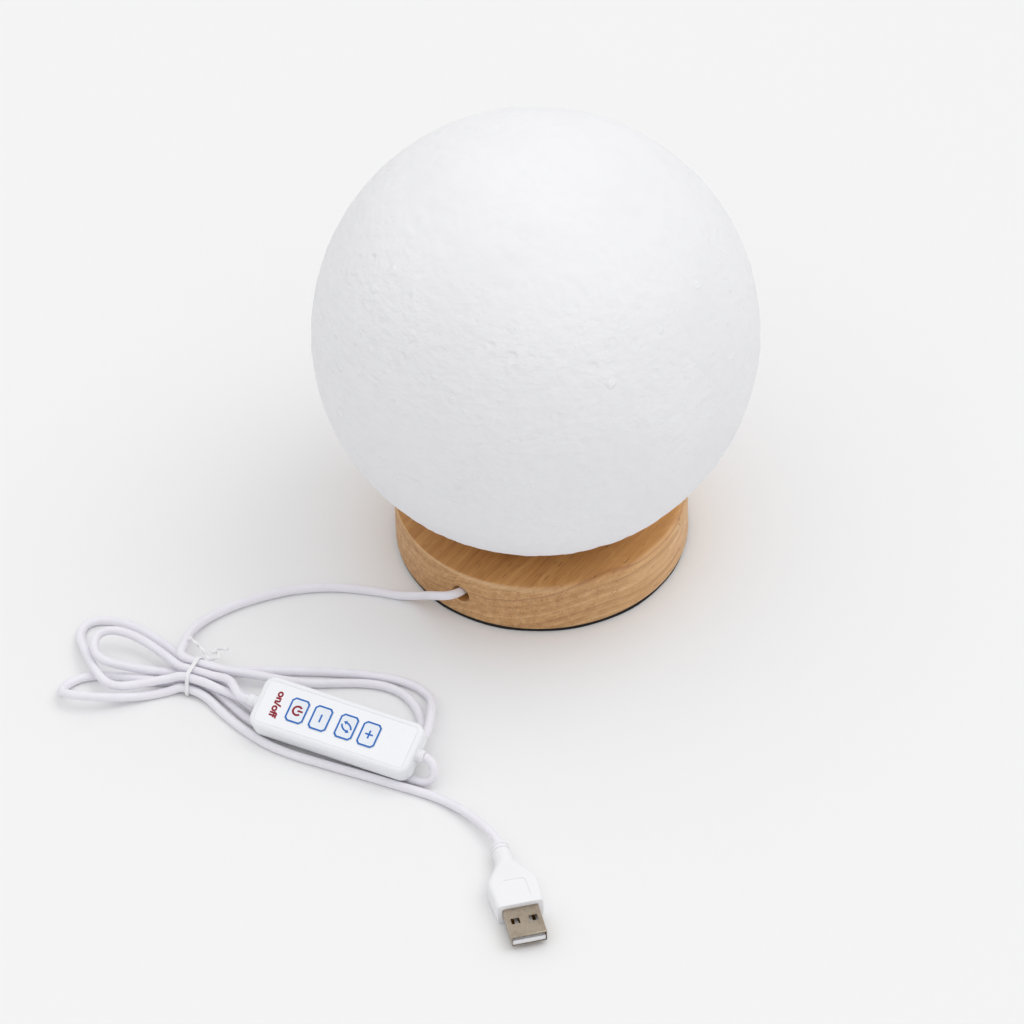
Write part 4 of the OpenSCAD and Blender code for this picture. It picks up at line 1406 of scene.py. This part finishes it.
    def crater_layer(self, w: Wiring, place: bpy.types.NodeSocket, size: float, depth: float,
                     cut: float, move: float) -> bpy.types.NodeSocket:
        """Craters of about one size.

        Args:
            w: wiring of the tree.
            place: position in millimetres.
            size: spacing of the craters in millimetres.
            depth: depth of the deepest in millimetres.
            cut: share of the cells that stay plain.
            move: shift that makes this layer differ from the others.

        Returns:
            Height in millimetres.
        """
        cells = w.put("ShaderNodeTexVoronoi", {
            "Vector": w.vector("ADD", place, (move, move * 2, move * 3)), "Scale": 1 / size,
            "Randomness": 0.85}, feature="F1")
        chance = w.put("FunctionNodeSeparateColor", {0: cells.outputs["Color"]})
        radius = w.remap(chance.outputs[0], 0.0, 1.0, 0.24, 0.46, "LINEAR")
        x = w.math("DIVIDE", cells.outputs["Distance"], w.times(radius, 2.0))
        curve = w.put("ShaderNodeFloatCurve", {1: x})
        line = curve.mapping.curves[0]
        line.points[0].location, line.points[-1].location = (0.0, 0.12), (1.0, 0.5)
        for at, value in ((0.15, 0.14), (0.32, 0.42), (0.45, 0.95), (0.58, 0.82), (0.82, 0.52)):
            line.points.new(at, value)
        curve.mapping.update()
        shape = w.minus(curve.outputs[0], 0.5)
        amount = w.times(w.remap(chance.outputs[1], cut, min(cut + 0.25, 1.0)),
                         w.remap(chance.outputs[2], 0.0, 1.0, 0.45, 1.0, "LINEAR"))
        return w.times(shape, w.times(amount, depth))

    def build(self, finishes: Finishes) -> None:
        """Makes the globe and rides it on its body.

        Args:
            finishes: the lamp's finishes.
        """
        points, faces, mask = self.skin()
        globe = new_object("moon_globe", points, faces, 80)
        globe.data.attributes.new("outside", "FLOAT", "POINT").data.foreach_set(
            "value", mask.astype(np.float32))
        run_tree(globe, self.relief_tree(), {
            "Crater depth": self.crater_depth, "Grain depth": self.grain_depth,
            "Seed": self.seed, "Finish": finishes[Slot.SHADE]})
        globe.data.shade_smooth()
        enlist(globe, Body.GLOBE, Slot.SHADE, finishes[Slot.SHADE], "moon_shade")


# ---- Base ----


@dataclass
class WoodBase:
    """Turned wooden disc on a foam pad; its upper edge is crisp at the left and worn at the right."""

    radius: float = 50.0
    height: float = 20.5
    pad: float = 1.5
    crisp: float = 0.5
    soft: float = 3.6
    soft_turn: float = 312.0
    pocket: float = 40.0
    pocket_top: float = 14.5
    bore: float = 14.0
    hole: float = 3.3
    hole_z: float = 10.6
    hole_turn: float = 235.1
    around: int = 288
    bore_flare: float = 0.7
    pad_inset: float = 0.35

    def profile(self, edge: float) -> list[tuple[float, float]]:
        """Section of the disc, up the outside, over the top and down the bore and the pocket.

        Args:
            edge: rounding of the upper edge.

        Returns:
            Radius and height of each point.
        """
        out = [(self.radius - 0.5, self.pad), (self.radius - 0.15, self.pad + 0.15),
               (self.radius, self.pad + 0.5)]
        out += [(self.radius, z) for z in np.linspace(4, self.height - 3.2, 5)]
        for i in range(9):
            a = math.pi / 2 * i / 8
            out.append((self.radius - edge + edge * math.cos(a),
                        self.height - edge + edge * math.sin(a)))
        out += [(r, self.height) for r in np.linspace(self.radius - 4, self.bore + 1.5, 7)]
        out += [(self.bore + 0.3, self.height), (self.bore, self.height - 0.3),
                (self.bore, self.pocket_top + 0.2), (self.bore + 0.2, self.pocket_top),
                (self.pocket - 0.5, self.pocket_top), (self.pocket, self.pocket_top - 0.5),
                (self.pocket, self.pad + 0.3), (self.pocket + 0.3, self.pad)]
        return out

    def edge_at(self, turn: np.ndarray) -> np.ndarray:
        """Rounding of the upper edge at a direction in degrees."""
        share = (1 + np.cos(np.radians(turn - self.soft_turn))) / 2
        wobble = 0.12 * np.sin(np.radians(3 * turn + 40)) + 0.08 * np.sin(np.radians(7 * turn))
        return self.crisp + (self.soft - self.crisp) * share ** 2.5 + wobble * share

    def build(self, finishes: Finishes) -> None:
        """Makes the disc and its pad.

        Args:
            finishes: the lamp's finishes.
        """
        turns = np.arange(self.around) * 360 / self.around
        columns = np.array([self.profile(edge) for edge in self.edge_at(turns)])
        rings = []
        for k in range(columns.shape[1]):
            r, z, a = columns[:, k, 0], columns[:, k, 1], np.radians(turns)
            rings.append(np.column_stack([r * np.cos(a), r * np.sin(a), z]))
        points, faces = loft(rings, joined=True)
        disc = new_object("wood_disc", points, faces, 40)
        aim = Matrix.Rotation(math.radians(self.hole_turn), 4, "Z") @ Matrix.Rotation(
            math.pi / 2, 4, "Y")
        mouth = self.hole + self.bore_flare
        cut, cut_faces = revolved([
            (self.hole, self.pocket - 6), (self.hole, self.radius - 0.5),
            (mouth, self.radius + 0.2), (mouth, self.radius + 5)], 40)
        cut = placed(cut, Matrix.Translation((0, 0, self.hole_z)) @ aim)
        carve(disc, new_object("drill", cut, cut_faces), sharp=40)
        enlist(disc, Body.BASE, Slot.WOOD, finishes[Slot.WOOD], "base_block")
        turns = np.radians(turns)
        wave = 0.12 * np.sin(5 * turns) + 0.08 * np.sin(13 * turns + 1)
        rings = []
        for inset, z in ((0.35, 0.0), (0.1, 0.1), (0.0, 0.4), (0.0, 1.2), (0.1, 1.47)):
            r = self.radius - self.pad_inset - inset + wave
            rings.append(np.column_stack([r * np.cos(turns), r * np.sin(turns),
                                          np.full(len(turns), z)]))
        points, faces = loft(rings)
        pad = new_object("foam_pad", points, faces, 50)
        enlist(pad, Body.BASE, Slot.FOAM, finishes[Slot.FOAM], "foot_pad")


@dataclass
class LightUnit:
    """Collar, board and chips under the globe: CAD nodes, with solder dots from Geometry Nodes."""

    board_top: float = 27.2
    ring: float = 9.2
    chips: int = 6
    dot: float = 0.5
    row_offset: float = 3.05

    def solder_tree(self) -> bpy.types.NodeTree:
        """Builds the tree that sets two rings of solder dots beside the chips.

        Returns:
            The tree.
        """
        tree = bpy.data.node_groups.new("solder_dots", "GeometryNodeTree")
        new = tree.interface.new_socket
        new("Geometry", in_out="INPUT", socket_type="NodeSocketGeometry")
        new("Count", in_out="INPUT", socket_type="NodeSocketInt").default_value = self.chips
        new("Ring", in_out="INPUT", socket_type="NodeSocketFloat").default_value = self.ring * MM
        new("Dot", in_out="INPUT", socket_type="NodeSocketFloat").default_value = self.dot * MM
        new("Finish", in_out="INPUT", socket_type="NodeSocketMaterial")
        new("Geometry", in_out="OUTPUT", socket_type="NodeSocketGeometry")
        w = Wiring(tree)
        given = tree.nodes.new("NodeGroupInput").outputs
        rows = []
        for offset in (-self.row_offset, self.row_offset):
            circle_of = w.put("GeometryNodeMeshCircle", {
                "Vertices": given["Count"],
                "Radius": w.plus(given["Ring"], offset * MM)})
            dot = w.put("GeometryNodeMeshUVSphere", {"Segments": 12, "Rings": 8,
                                                     "Radius": given["Dot"]})
            flat = w.put("GeometryNodeTransform", {"Geometry": dot.outputs[0],
                                                   "Scale": (1.0, 1.6, 0.45)})
            number = w.put("GeometryNodeInputIndex").outputs[0]
            angle = w.math("DIVIDE", w.times(number, 2 * math.pi), given["Count"])
            turn = w.put("ShaderNodeCombineXYZ", {2: angle}).outputs[0]
            rows.append(w.put("GeometryNodeInstanceOnPoints", {
                "Points": circle_of.outputs[0], "Instance": flat.outputs[0],
                "Rotation": turn}).outputs[0])
        joined = w.put("GeometryNodeJoinGeometry")
        for row in rows:
            tree.links.new(row, joined.inputs[0])
        lifted = w.put("GeometryNodeTransform", {
            "Geometry": joined.outputs[0], "Translation": (0, 0, self.board_top * MM)})
        real = w.put("GeometryNodeRealizeInstances", {"Geometry": lifted.outputs[0]})
        done = w.put("GeometryNodeSetMaterial", {"Geometry": real.outputs[0],
                                                 "Material": given["Finish"]})
        w.put("NodeGroupOutput", {"Geometry": done.outputs[0]})
        return tree

    def build(self, finishes: Finishes) -> None:
        """Dresses the CAD nodes and adds the solder.

        Args:
            finishes: the lamp's finishes.
        """
        for node, slot in (("lamp_collar", Slot.WHITE), ("collar_screws", Slot.STEEL),
                           ("light_board", Slot.BOARD_WHITE), ("light_chips", Slot.CHIP),
                           ("board_resistors", Slot.BLACK), ("board_screws", Slot.STEEL),
                           ("board_wires", Slot.WHITE), ("strain_clip", Slot.WHITE)):
            dress(node, finishes[slot])
        dots = new_object("solder_dots", np.zeros((3, 3)), [(0, 1, 2)])
        run_tree(dots, self.solder_tree(), {
            "Count": self.chips, "Ring": self.ring * MM, "Dot": self.dot * MM,
            "Finish": finishes[Slot.STEEL]})
        enlist(dots, Body.BASE, Slot.STEEL, finishes[Slot.STEEL])


# ---- Controller ----


@dataclass
class Controller:
    """Inline controller: two shells, a label film, four keys with printed signs, two bushes."""

    length: float = 59.0
    width: float = 19.2
    height: float = 8.4
    corner: float = 4.0
    edge: float = 1.6
    split: float = 3.2
    recess: float = 0.3
    at: tuple[float, float, float] = (-69.7, -99.7, 5.7)
    lean: float = 22.0
    turn: float = -27.2
    key_size: tuple[float, float, float] = (6.8, 9.0, 1.15)
    key_gap: float = 0.06
    film: tuple[float, float] = (55.0, 15.2)
    bore: float = 2.3
    words_at: tuple[float, float] = (-21.7, -0.1)
    words_size: tuple[float, float] = (9.8, 2.9)
    words_z: tuple[float, float] = (8.33, 8.37)
    sign_z: tuple[float, float] = (8.56, 8.605)
    keys: tuple = ((-14.2, Mark.POWER, Body.POWER), (-5.6, Mark.MINUS, Body.MINUS),
                   (4.0, Mark.CYCLE, Body.CYCLE), (12.4, Mark.PLUS, Body.PLUS))

    @property
    def matrix(self) -> Matrix:
        """Place of the controller, shift in millimetres."""
        return (Matrix.Translation(self.at) @ Matrix.Rotation(math.radians(self.turn), 4, "Z")
                @ Matrix.Rotation(math.radians(self.lean), 4, "X"))

    def part(self, name: str, skin: tuple[Points, Faces], sharp: float = 35) -> bpy.types.Object:
        """Makes a mesh in the controller's own frame."""
        return new_object(name, placed(skin[0], self.matrix), skin[1], sharp)

    def plan(self, inset: float, z: float) -> Points:
        """Outline of the body at a height, moved in."""
        return at_height(rounded_ring(self.length - 2 * inset, self.width - 2 * inset,
                                      self.corner - inset, 10), z)

    def octagon(self, grow: float) -> Points:
        """Outline of a key about its own centre, moved out."""
        x, y = self.key_size[0] / 2 + grow, self.key_size[1] / 2 + grow
        cut = self.key_size[2] + (2 - math.sqrt(2)) * grow
        return np.array([(x - cut, -y), (x, -y + cut), (x, y - cut), (x - cut, y),
                         (-x + cut, y), (-x, y - cut), (-x, -y + cut), (-x + cut, -y)])

    def shells(self, finishes: Finishes) -> None:
        """Makes the two halves of the body.

        Args:
            finishes: the lamp's finishes.
        """
        arc = [(math.sin(a), math.cos(a)) for a in np.linspace(0, math.pi / 2, 9)]
        top = [self.plan(0.14, self.split + 0.02), self.plan(0, self.split + 0.16)]
        top += [self.plan(self.edge * (1 - c), self.height - self.edge * (1 - s)) for s, c in arc]
        rim_l, rim_w = (size + 0.2 for size in self.film)
        for inset, z in ((0.0, self.height), (0.1, self.height - 0.05),
                         (0.1, self.height - self.recess)):
            top.append(at_height(rounded_ring(rim_l - inset, rim_w - inset, 1.5, 10), z))
        bottom = [self.plan(self.edge * (1 - c), self.edge * (1 - s)) for s, c in arc[::-1]]
        bottom += [self.plan(0, self.split - 0.16), self.plan(0.14, self.split - 0.02)]
        inner = loft([at_height(rounded_ring(56.6 - g, 16.8 - g, 2.8, 10), z) for g, z in (
            (1.0, 1.2), (0.3, 1.4), (0, 2.0), (0, 6.2), (0.3, 6.7), (1.0, 6.9))])
        drill, drill_faces = revolved([(self.bore, 27), (self.bore, 31)], 32)
        for name, rings, node in (("control_cover", top, "control_top"),
                                  ("control_tray", bottom, "control_bottom")):
            shell = self.part(name, loft(rings))
            cutters = [self.part("hollow", inner)]
            for side in (-1, 1):
                bore = placed(drill, Matrix.Translation((0, 0, self.height / 2))
                              @ Matrix.Rotation(side * math.pi / 2, 4, "Y"))
                cutters.append(self.part("bore", (bore, drill_faces)))
            if name == "control_cover":
                for x, _, _ in self.keys:
                    hole = [at_height(self.octagon(self.key_gap) + (x, 0), z) for z in (5.0, 9.0)]
                    cutters.append(self.part("key_hole", loft(hole)))
            carve(shell, *cutters)
            enlist(shell, Body.BASE, Slot.CONTROL, finishes[Slot.CONTROL], node)

    def label(self, finishes: Finishes) -> None:
        """Makes the film with its key holes, and the words beside the first key.

        Args:
            finishes: the lamp's finishes.
        """
        holes = [self.octagon(self.key_gap) + (x, 0) for x, _, _ in self.keys]
        film = self.part("control_film", plate(rounded_ring(*self.film, 1.4), holes, 8.1, 8.36))
        enlist(film, Body.BASE, Slot.LABEL, finishes[Slot.LABEL], "control_label")
        data = bpy.data.curves.new("on_off", "FONT")
        data.body, data.size, data.extrude = "on/off", 1.0, 0.0
        data.align_x, data.align_y, data.offset = "CENTER", "CENTER", 0.045
        source = bpy.data.objects.new("on_off_source", data)
        bpy.context.scene.collection.objects.link(source)
        bpy.context.view_layer.update()
        graph = bpy.context.evaluated_depsgraph_get()
        mesh = bpy.data.meshes.new_from_object(source.evaluated_get(graph))
        bpy.data.objects.remove(source)
        flat = np.array([v.co[:2] for v in mesh.vertices])
        faces = [tuple(p.vertices) for p in mesh.polygons]
        low, high = flat.min(0), flat.max(0)
        flat = (flat - (low + high) / 2) * self.words_size / (high - low)
        # It reads towards the front edge, its letters upright towards the keys
        local = np.column_stack([flat[:, 1], -flat[:, 0]]) + self.words_at
        n = len(local)
        solid = [tuple(reversed(f)) for f in faces] + [tuple(i + n for i in f) for f in faces]
        edges: dict[tuple[int, int], int] = {}
        for f in faces:
            for a, b in zip(f, f[1:] + f[:1]):
                edges[(a, b)] = edges.get((a, b), 0) + 1
        solid += [(a, b, b + n, a + n) for a, b in edges if (b, a) not in edges]
        layers = [at_height(local, z) for z in self.words_z]
        words = self.part("on_off_words", (np.concatenate(layers), solid))
        enlist(words, Body.BASE, Slot.LABEL, finishes.red_ink)

    def sign(self, mark: Mark) -> list[Points]:
        """Outlines of a key's sign about the key's centre.

        Args:
            mark: which sign.

        Returns:
            Outlines, counter-clockwise.
        """
        def bar(x: float, y: float, w: float, h: float) -> Points:
            """An upright rectangle."""
            return np.array([(x - w / 2, y - h / 2), (x + w / 2, y - h / 2),
                             (x + w / 2, y + h / 2), (x - w / 2, y + h / 2)])

        def arc(radius: float, wide: float, start: float, end: float) -> Points:
            """A piece of a ring."""
            a = np.radians(np.linspace(start, end, 28))
            outer = (radius + wide / 2) * np.column_stack([np.cos(a), np.sin(a)])
            inner = (radius - wide / 2) * np.column_stack([np.cos(a), np.sin(a)])
            return np.concatenate([outer, inner[::-1]])

        if mark is Mark.POWER:
            return [arc(1.55, 0.74, 42, 318), bar(0.98, 0, 1.96, 0.68)]
        if mark is Mark.MINUS:
            return [bar(0, 0, 0.62, 2.9)]
        if mark is Mark.PLUS:
            return [bar(0, 0, 0.62, 3.0), bar(0.88, 0, 1.14, 0.6), bar(-0.88, 0, 1.14, 0.6)]
        # Two arrows chase each other round a slanted oval
        lean = math.radians(-32)
        turn = np.array([[math.cos(lean), math.sin(lean)], [-math.sin(lean), math.cos(lean)]])
        shapes = []
        for start in (20, 200):
            a = np.radians(np.linspace(start, start + 105, 28))
            line = np.column_stack([2.0 * np.cos(a), 1.2 * np.sin(a)])
            along = np.gradient(line, axis=0)
            along /= np.linalg.norm(along, axis=1)[:, None]
            side = np.column_stack([along[:, 1], -along[:, 0]]) * 0.3
            shapes.append(np.concatenate([line + side, (line - side)[::-1]]) @ turn)
            tip, wide = line[-1] + along[-1] * 1.15, side[-1] * 2.6
            shapes.append(np.array([line[-1] + wide, tip, line[-1] - wide]) @ turn)
        return shapes

    def key(self, x: float, mark: Mark, body: Body, finishes: Finishes) -> None:
        """Makes one key: flange, stem, cap with a printed border and its sign.

        Args:
            x: its place along the controller.
            mark: its sign.
            body: CAD body that it rides on.
            finishes: the lamp's finishes.
        """
        steps = ((0.45, 6.12), (0.45, 6.55), (0, 6.6), (0, 8.48), (-0.02, 8.54), (-0.04, 8.59),
                 (-0.06, 8.6), (-0.68, 8.6), (-0.74, 8.58))
        rings = [at_height(self.octagon(g) + (x, 0), z) for g, z in steps]
        cap = loft(rings)
        stem = revolved([(1.2, 5.16), (1.3, 5.26), (1.3, 6.3)], 24)
        stem = (stem[0] + (x, 0, 0), stem[1])
        signs = [plate(shape + (x, 0), [], *self.sign_z) for shape in self.sign(mark)]
        points, faces = together(cap, stem, *signs)
        key = self.part(body.value + "_cap", (points, faces), 30)
        sign_ink = finishes.red_ink if mark is Mark.POWER else finishes.blue_ink
        for material in (finishes[Slot.KEY], finishes.blue_ink, sign_ink):
            key.data.materials.append(material)
        # The seventh band of the cap, between its last two flat rings, is the printed border
        sides = len(rings[0])
        index = np.zeros(len(faces), np.int32)
        index[6 * sides:7 * sides] = 1
        index[len(cap[1]) + len(stem[1]):] = 2
        key.data.polygons.foreach_set("material_index", index)
        enlist(key, body, Slot.KEY, finishes[Slot.KEY], body.value)

    def bush(self, name: str, nose: float, side: int, finishes: Finishes) -> bpy.types.Object:
        """Makes a cord bush: a collar inside the wall and a ribbed tapered nose outside.

        Args:
            name: CAD node that it stands for.
            nose: length of the nose.
            side: 1 at the right end, -1 at the left.
            finishes: the lamp's finishes.

        Returns:
            The piece.
        """
        profile = [(2.4, -2.4), (2.5, -2.3), (2.5, -1.6), (2.15, -1.5), (2.15, 0), (2.46, 0.02)]
        for i in range(3):
            low, high = i * nose / 3 + (0.25 if i else 0.1), (i + 1) * nose / 3 - 0.3
            wide = [2.5 - 0.5 * z / nose for z in (low, high)]
            profile += [(wide[0], low), (wide[1], high)]
            if i < 2:
                profile += [(1.98, high + 0.1), (1.98, high + 0.45)]
        profile += [(2.0, nose - 0.25), (1.85, nose - 0.05), (1.6, nose)]
        points, faces = revolved(profile, 40)
        turn = Matrix.Translation((side * self.length / 2, 0, self.height / 2)) @ Matrix.Rotation(
            side * math.pi / 2, 4, "Y")
        bush = self.part(name.replace("gland", "bush"), (placed(points, turn), faces), 40)
        return enlist(bush, Body.BASE, Slot.WHITE, finishes[Slot.WHITE], name)

    def build(self, finishes: Finishes) -> list[bpy.types.Object]:
        """Makes the whole controller.

        Args:
            finishes: the lamp's finishes.

        Returns:
            Its two bushes, which sit on the cords.
        """
        self.shells(finishes)
        self.label(finishes)
        for x, mark, body in self.keys:
            self.key(x, mark, body, finishes)
        for node, slot in (("control_board", Slot.BOARD_GREEN), ("control_switches", Slot.BLACK),
                           ("control_chips", Slot.BLACK)):
            dress(node, finishes[slot])
        return [self.bush("gland_in", 3.8, -1, finishes), self.bush("gland_out", 2.5, 1, finishes)]


# ---- Tie and plug ----


@dataclass
class BundleTie:
    """Flat plastic tie: a band round the bundle and its twisted ends."""

    cord: float = 1.5
    low: float = 2.3
    high: float = 5.95
    half_low: float = 5.7
    half_high: float = 3.8
    bow: float = -1.5
    bow_reach: float = 8.0
    tail: tuple = (
        (-120.4, -53.4, 7.4), (-117.8, -56.8, 7.9), (-115.6, -60, 7.8), (-114.3, -62.4, 7.1),
        (-113, -63.9, 7.3), (-111.2, -64.2, 7.7), (-110.1, -63.1, 8), (-110.6, -61.7, 8.2),
        (-112, -61.4, 8), (-112.6, -60.3, 7.5), (-111.4, -59.4, 7), (-107, -57.9, 6))

    def outline(self, radius: float, along: float, tie: TieFrame) -> Points:
        """The band's line round the seven strands, at a distance from their centres."""
        corners = [(-self.half_low, self.low), (self.half_low, self.low),
                   (self.half_high, self.high), (-self.half_high, self.high)]
        out = []
        for i, here in enumerate(corners):
            before, after = corners[i - 1], corners[(i + 1) % 4]
            turn = [math.atan2(b[1] - a[1], b[0] - a[0]) - math.pi / 2
                    for a, b in ((before, here), (here, after))]
            span = (turn[1] - turn[0]) % (2 * math.pi)
            for k in range(9):
                a = turn[0] + span * k / 8
                out.append((here[0] + radius * math.cos(a), here[1] + radius * math.sin(a)))
        flat = np.array(out)
        bowed = along + self.bow * np.clip(1 - (flat[:, 0] / self.bow_reach) ** 2, 0, 1)
        return tie.point(bowed, flat[:, 0], flat[:, 1])

    def build(self, tie: TieFrame, finishes: Finishes) -> list[bpy.types.Object]:
        """Makes the band and its ends.

        Args:
            tie: where the tie holds the bundle.
            finishes: the lamp's finishes.

        Returns:
            Both pieces.
        """
        section = ((0.22, 0.6), (0.22, -0.6), (0.32, -0.7), (0.5, -0.7), (0.58, -0.6),
                   (0.52, -0.35), (0.72, -0.15), (0.72, 0.15), (0.52, 0.35), (0.58, 0.6),
                   (0.5, 0.7), (0.32, 0.7))
        rings = [self.outline(self.cord + r, a, tie) for r, a in section]
        points, faces = loft(rings, joined=True)
        band = new_object("tie_band", points, faces, 50)
        enlist(band, Body.BASE, Slot.TIE, finishes[Slot.TIE], "twist_tie")
        path = smooth_path(np.array(self.tail), 0.3, 0.6)
        points, faces, corners = tube(path, lambda share: 0.72 if 0.01 < share < 0.99 else 0.4, 14,
                                      0.5, 3.5)
        ends = new_object("tie_ends", points, faces, 50)
        add_uv(ends, corners)
        enlist(ends, Body.BASE, Slot.TIE, finishes[Slot.TIE], "tie_tails")
        return [band, ends]


@dataclass
class PlugEnd:
    """Plug: a flared grip with a grooved neck, a folded shell with windows, its tongue."""

    at: tuple[float, float, float] = (-12.06, -181.74, 4.1)
    turn: float = -78.0
    grip: tuple[float, float] = (15.6, 8.0)
    bulge: float = 0.6
    neck: float = 3.1
    shell: tuple[float, float] = (12.0, 4.5)
    shell_length: float = 12.6
    shell_skin: float = 0.3
    window: tuple[float, float] = (2.5, 2.9)
    dent_steps: tuple = ((-0.3, 2.1), (0.1, 2.3), (0.3, 3))

    @property
    def matrix(self) -> Matrix:
        """Place of the plug, shift in millimetres; local x runs out of the grip."""
        return Matrix.Translation(self.at) @ Matrix.Rotation(math.radians(self.turn), 4, "Z")

    def section(self, x: float, width: float, height: float, radius: float) -> Points:
        """A rounded section across the plug, counter-clockwise seen from its tip."""
        ring = rounded_ring(width, height, radius, 8)
        return np.column_stack([np.full(len(ring), x), ring])

    def build(self, finishes: Finishes) -> list[bpy.types.Object]:
        """Makes the plug.

        Args:
            finishes: the lamp's finishes.

        Returns:
            Its pieces, CAD nodes among them.
        """
        n, (gw, gt), wide = 2 * self.neck, self.grip, self.grip[0] + 2 * self.bulge
        rows = [(-30.0, n - 0.7, n - 0.7, 3.1), (-29.75, n, n, 3.1), (-29.0, n, n, 3.1),
                (-28.9, n - 0.8, n - 0.8, 3.1), (-28.4, n - 0.8, n - 0.8, 3.1),
                (-28.3, n, n, 3.1), (-27.4, n, n, 3.1), (-27.3, n - 0.8, n - 0.8, 3.1),
                (-26.8, n - 0.8, n - 0.8, 3.1), (-26.7, n, n, 3.1), (-23, n + 0.3, n, 3.1),
                (-21.2, 7.1, 6.3, 3.0), (-19.4, 8.9, 6.6, 2.8), (-16.8, wide - 5.0, 7.1, 2.4),
                (-14.4, wide - 2.2, 7.6, 2.1), (-12.6, wide - 0.6, 7.9, 1.9),
                (-11.6, wide - 0.1, gt, 1.8), (-10.5, wide, gt, 1.7), (-8, wide - 0.2, gt, 1.6),
                (-0.5, gw, gt, 1.5), (-0.15, gw - 0.2, gt - 0.2, 1.4),
                (0.0, gw - 0.7, gt - 0.7, 1.2)]
        points, faces = loft([self.section(*row) for row in rows])
        grip = new_object("plug_body", placed(points, self.matrix), faces, 32)
        panel = loft([at_height(rounded_ring(10 + g, 8.6 + g, 2 + g / 2), z) + (-6.2, 0, 0)
                      for g, z in ((-0.2, gt / 2 - 0.3), (0, gt / 2 - 0.22), (0.1, gt / 2 + 1))])
        socket = loft([self.section(-3, 12.1, 4.6, 0.6), self.section(1, 12.1, 4.6, 0.6)])
        carve(grip, *(new_object("cut", placed(p, self.matrix), f) for p, f in (panel, socket)),
              sharp=32)
        enlist(grip, Body.BASE, Slot.WHITE, finishes[Slot.WHITE], "plug_grip")
        (w, h), s, end = self.shell, self.shell_skin, self.shell_length
        outer = [(-2.9, 0.0), (0.0, 0.0), (end - 0.5, 0.0), (end - 0.2, -0.08), (end, -0.24)]
        inner = [(end, -s + 0.02), (end - 0.4, -s), (-2.4, -s)]
        rings = [self.section(x, w + 2 * g, h + 2 * g, max(0.6 + g, 0.2))
                 for x, g in outer + inner]
        rings.append(self.section(-2.9, w - 2 * s, h - 2 * s, 0.3))
        points, faces = loft(rings, joined=True)
        shell = new_object("plug_shell_skin", placed(points, self.matrix), faces, 32)
        cuts = []
        for side in (-1, 1):
            cuts.append(loft([at_height(rounded_ring(*self.window, 0.25, 4), z)
                              + (5.7, side * 3, 0) for z in (-5, 5)]))
            cuts.append(loft([at_height(rounded_ring(1.5 + g, 0.55 + g, 0.3, 4), z)
                              + (1.5, side * 0.96, 0) for g, z in self.dent_steps]))
        seam = [at_height(rounded_ring(20, 0.12, 0.02, 4), z) + (10.6, 0, 0) for z in (-4, -1.7)]
        cuts.append(loft(seam))
        carve(shell, *(new_object("cut", placed(p, self.matrix), f) for p, f in cuts), sharp=32)
        enlist(shell, Body.BASE, Slot.NICKEL, finishes[Slot.NICKEL], "plug_shell")
        dress("plug_tongue", finishes[Slot.WHITE])
        dress("plug_contacts", finishes[Slot.GOLD])
        return [grip, shell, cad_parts["plug_tongue"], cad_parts["plug_contacts"]]


# ---- Assembly ----


def main() -> None:
    """Builds the lamp: camera and cords first, then each sub-assembly in turn."""
    logging.basicConfig(level=logging.INFO, format="%(name)s %(message)s")
    studio = Studio()
    studio.camera()
    finishes = Finishes()
    cords = Cords()
    lamp_path, usb_path = cords.lamp_path(), cords.usb_path()
    lamp_cord = cords.build("lamp_cord", lamp_path, finishes[Slot.CORD],
                            ("base_lead", "lamp_lead", "lamp_hank", "lamp_tail"))
    usb_cord = cords.build("usb_cord", usb_path, finishes[Slot.CORD],
                           ("usb_return", "usb_hank", "usb_lead"))
    bushes = Controller().build(finishes)
    ties = BundleTie().build(cords.tie, finishes)
    plug = PlugEnd().build(finishes)
    Globe().build(finishes)
    WoodBase().build(finishes)
    LightUnit().build(finishes)
    studio.build()


if __name__ == "__main__":
    main()
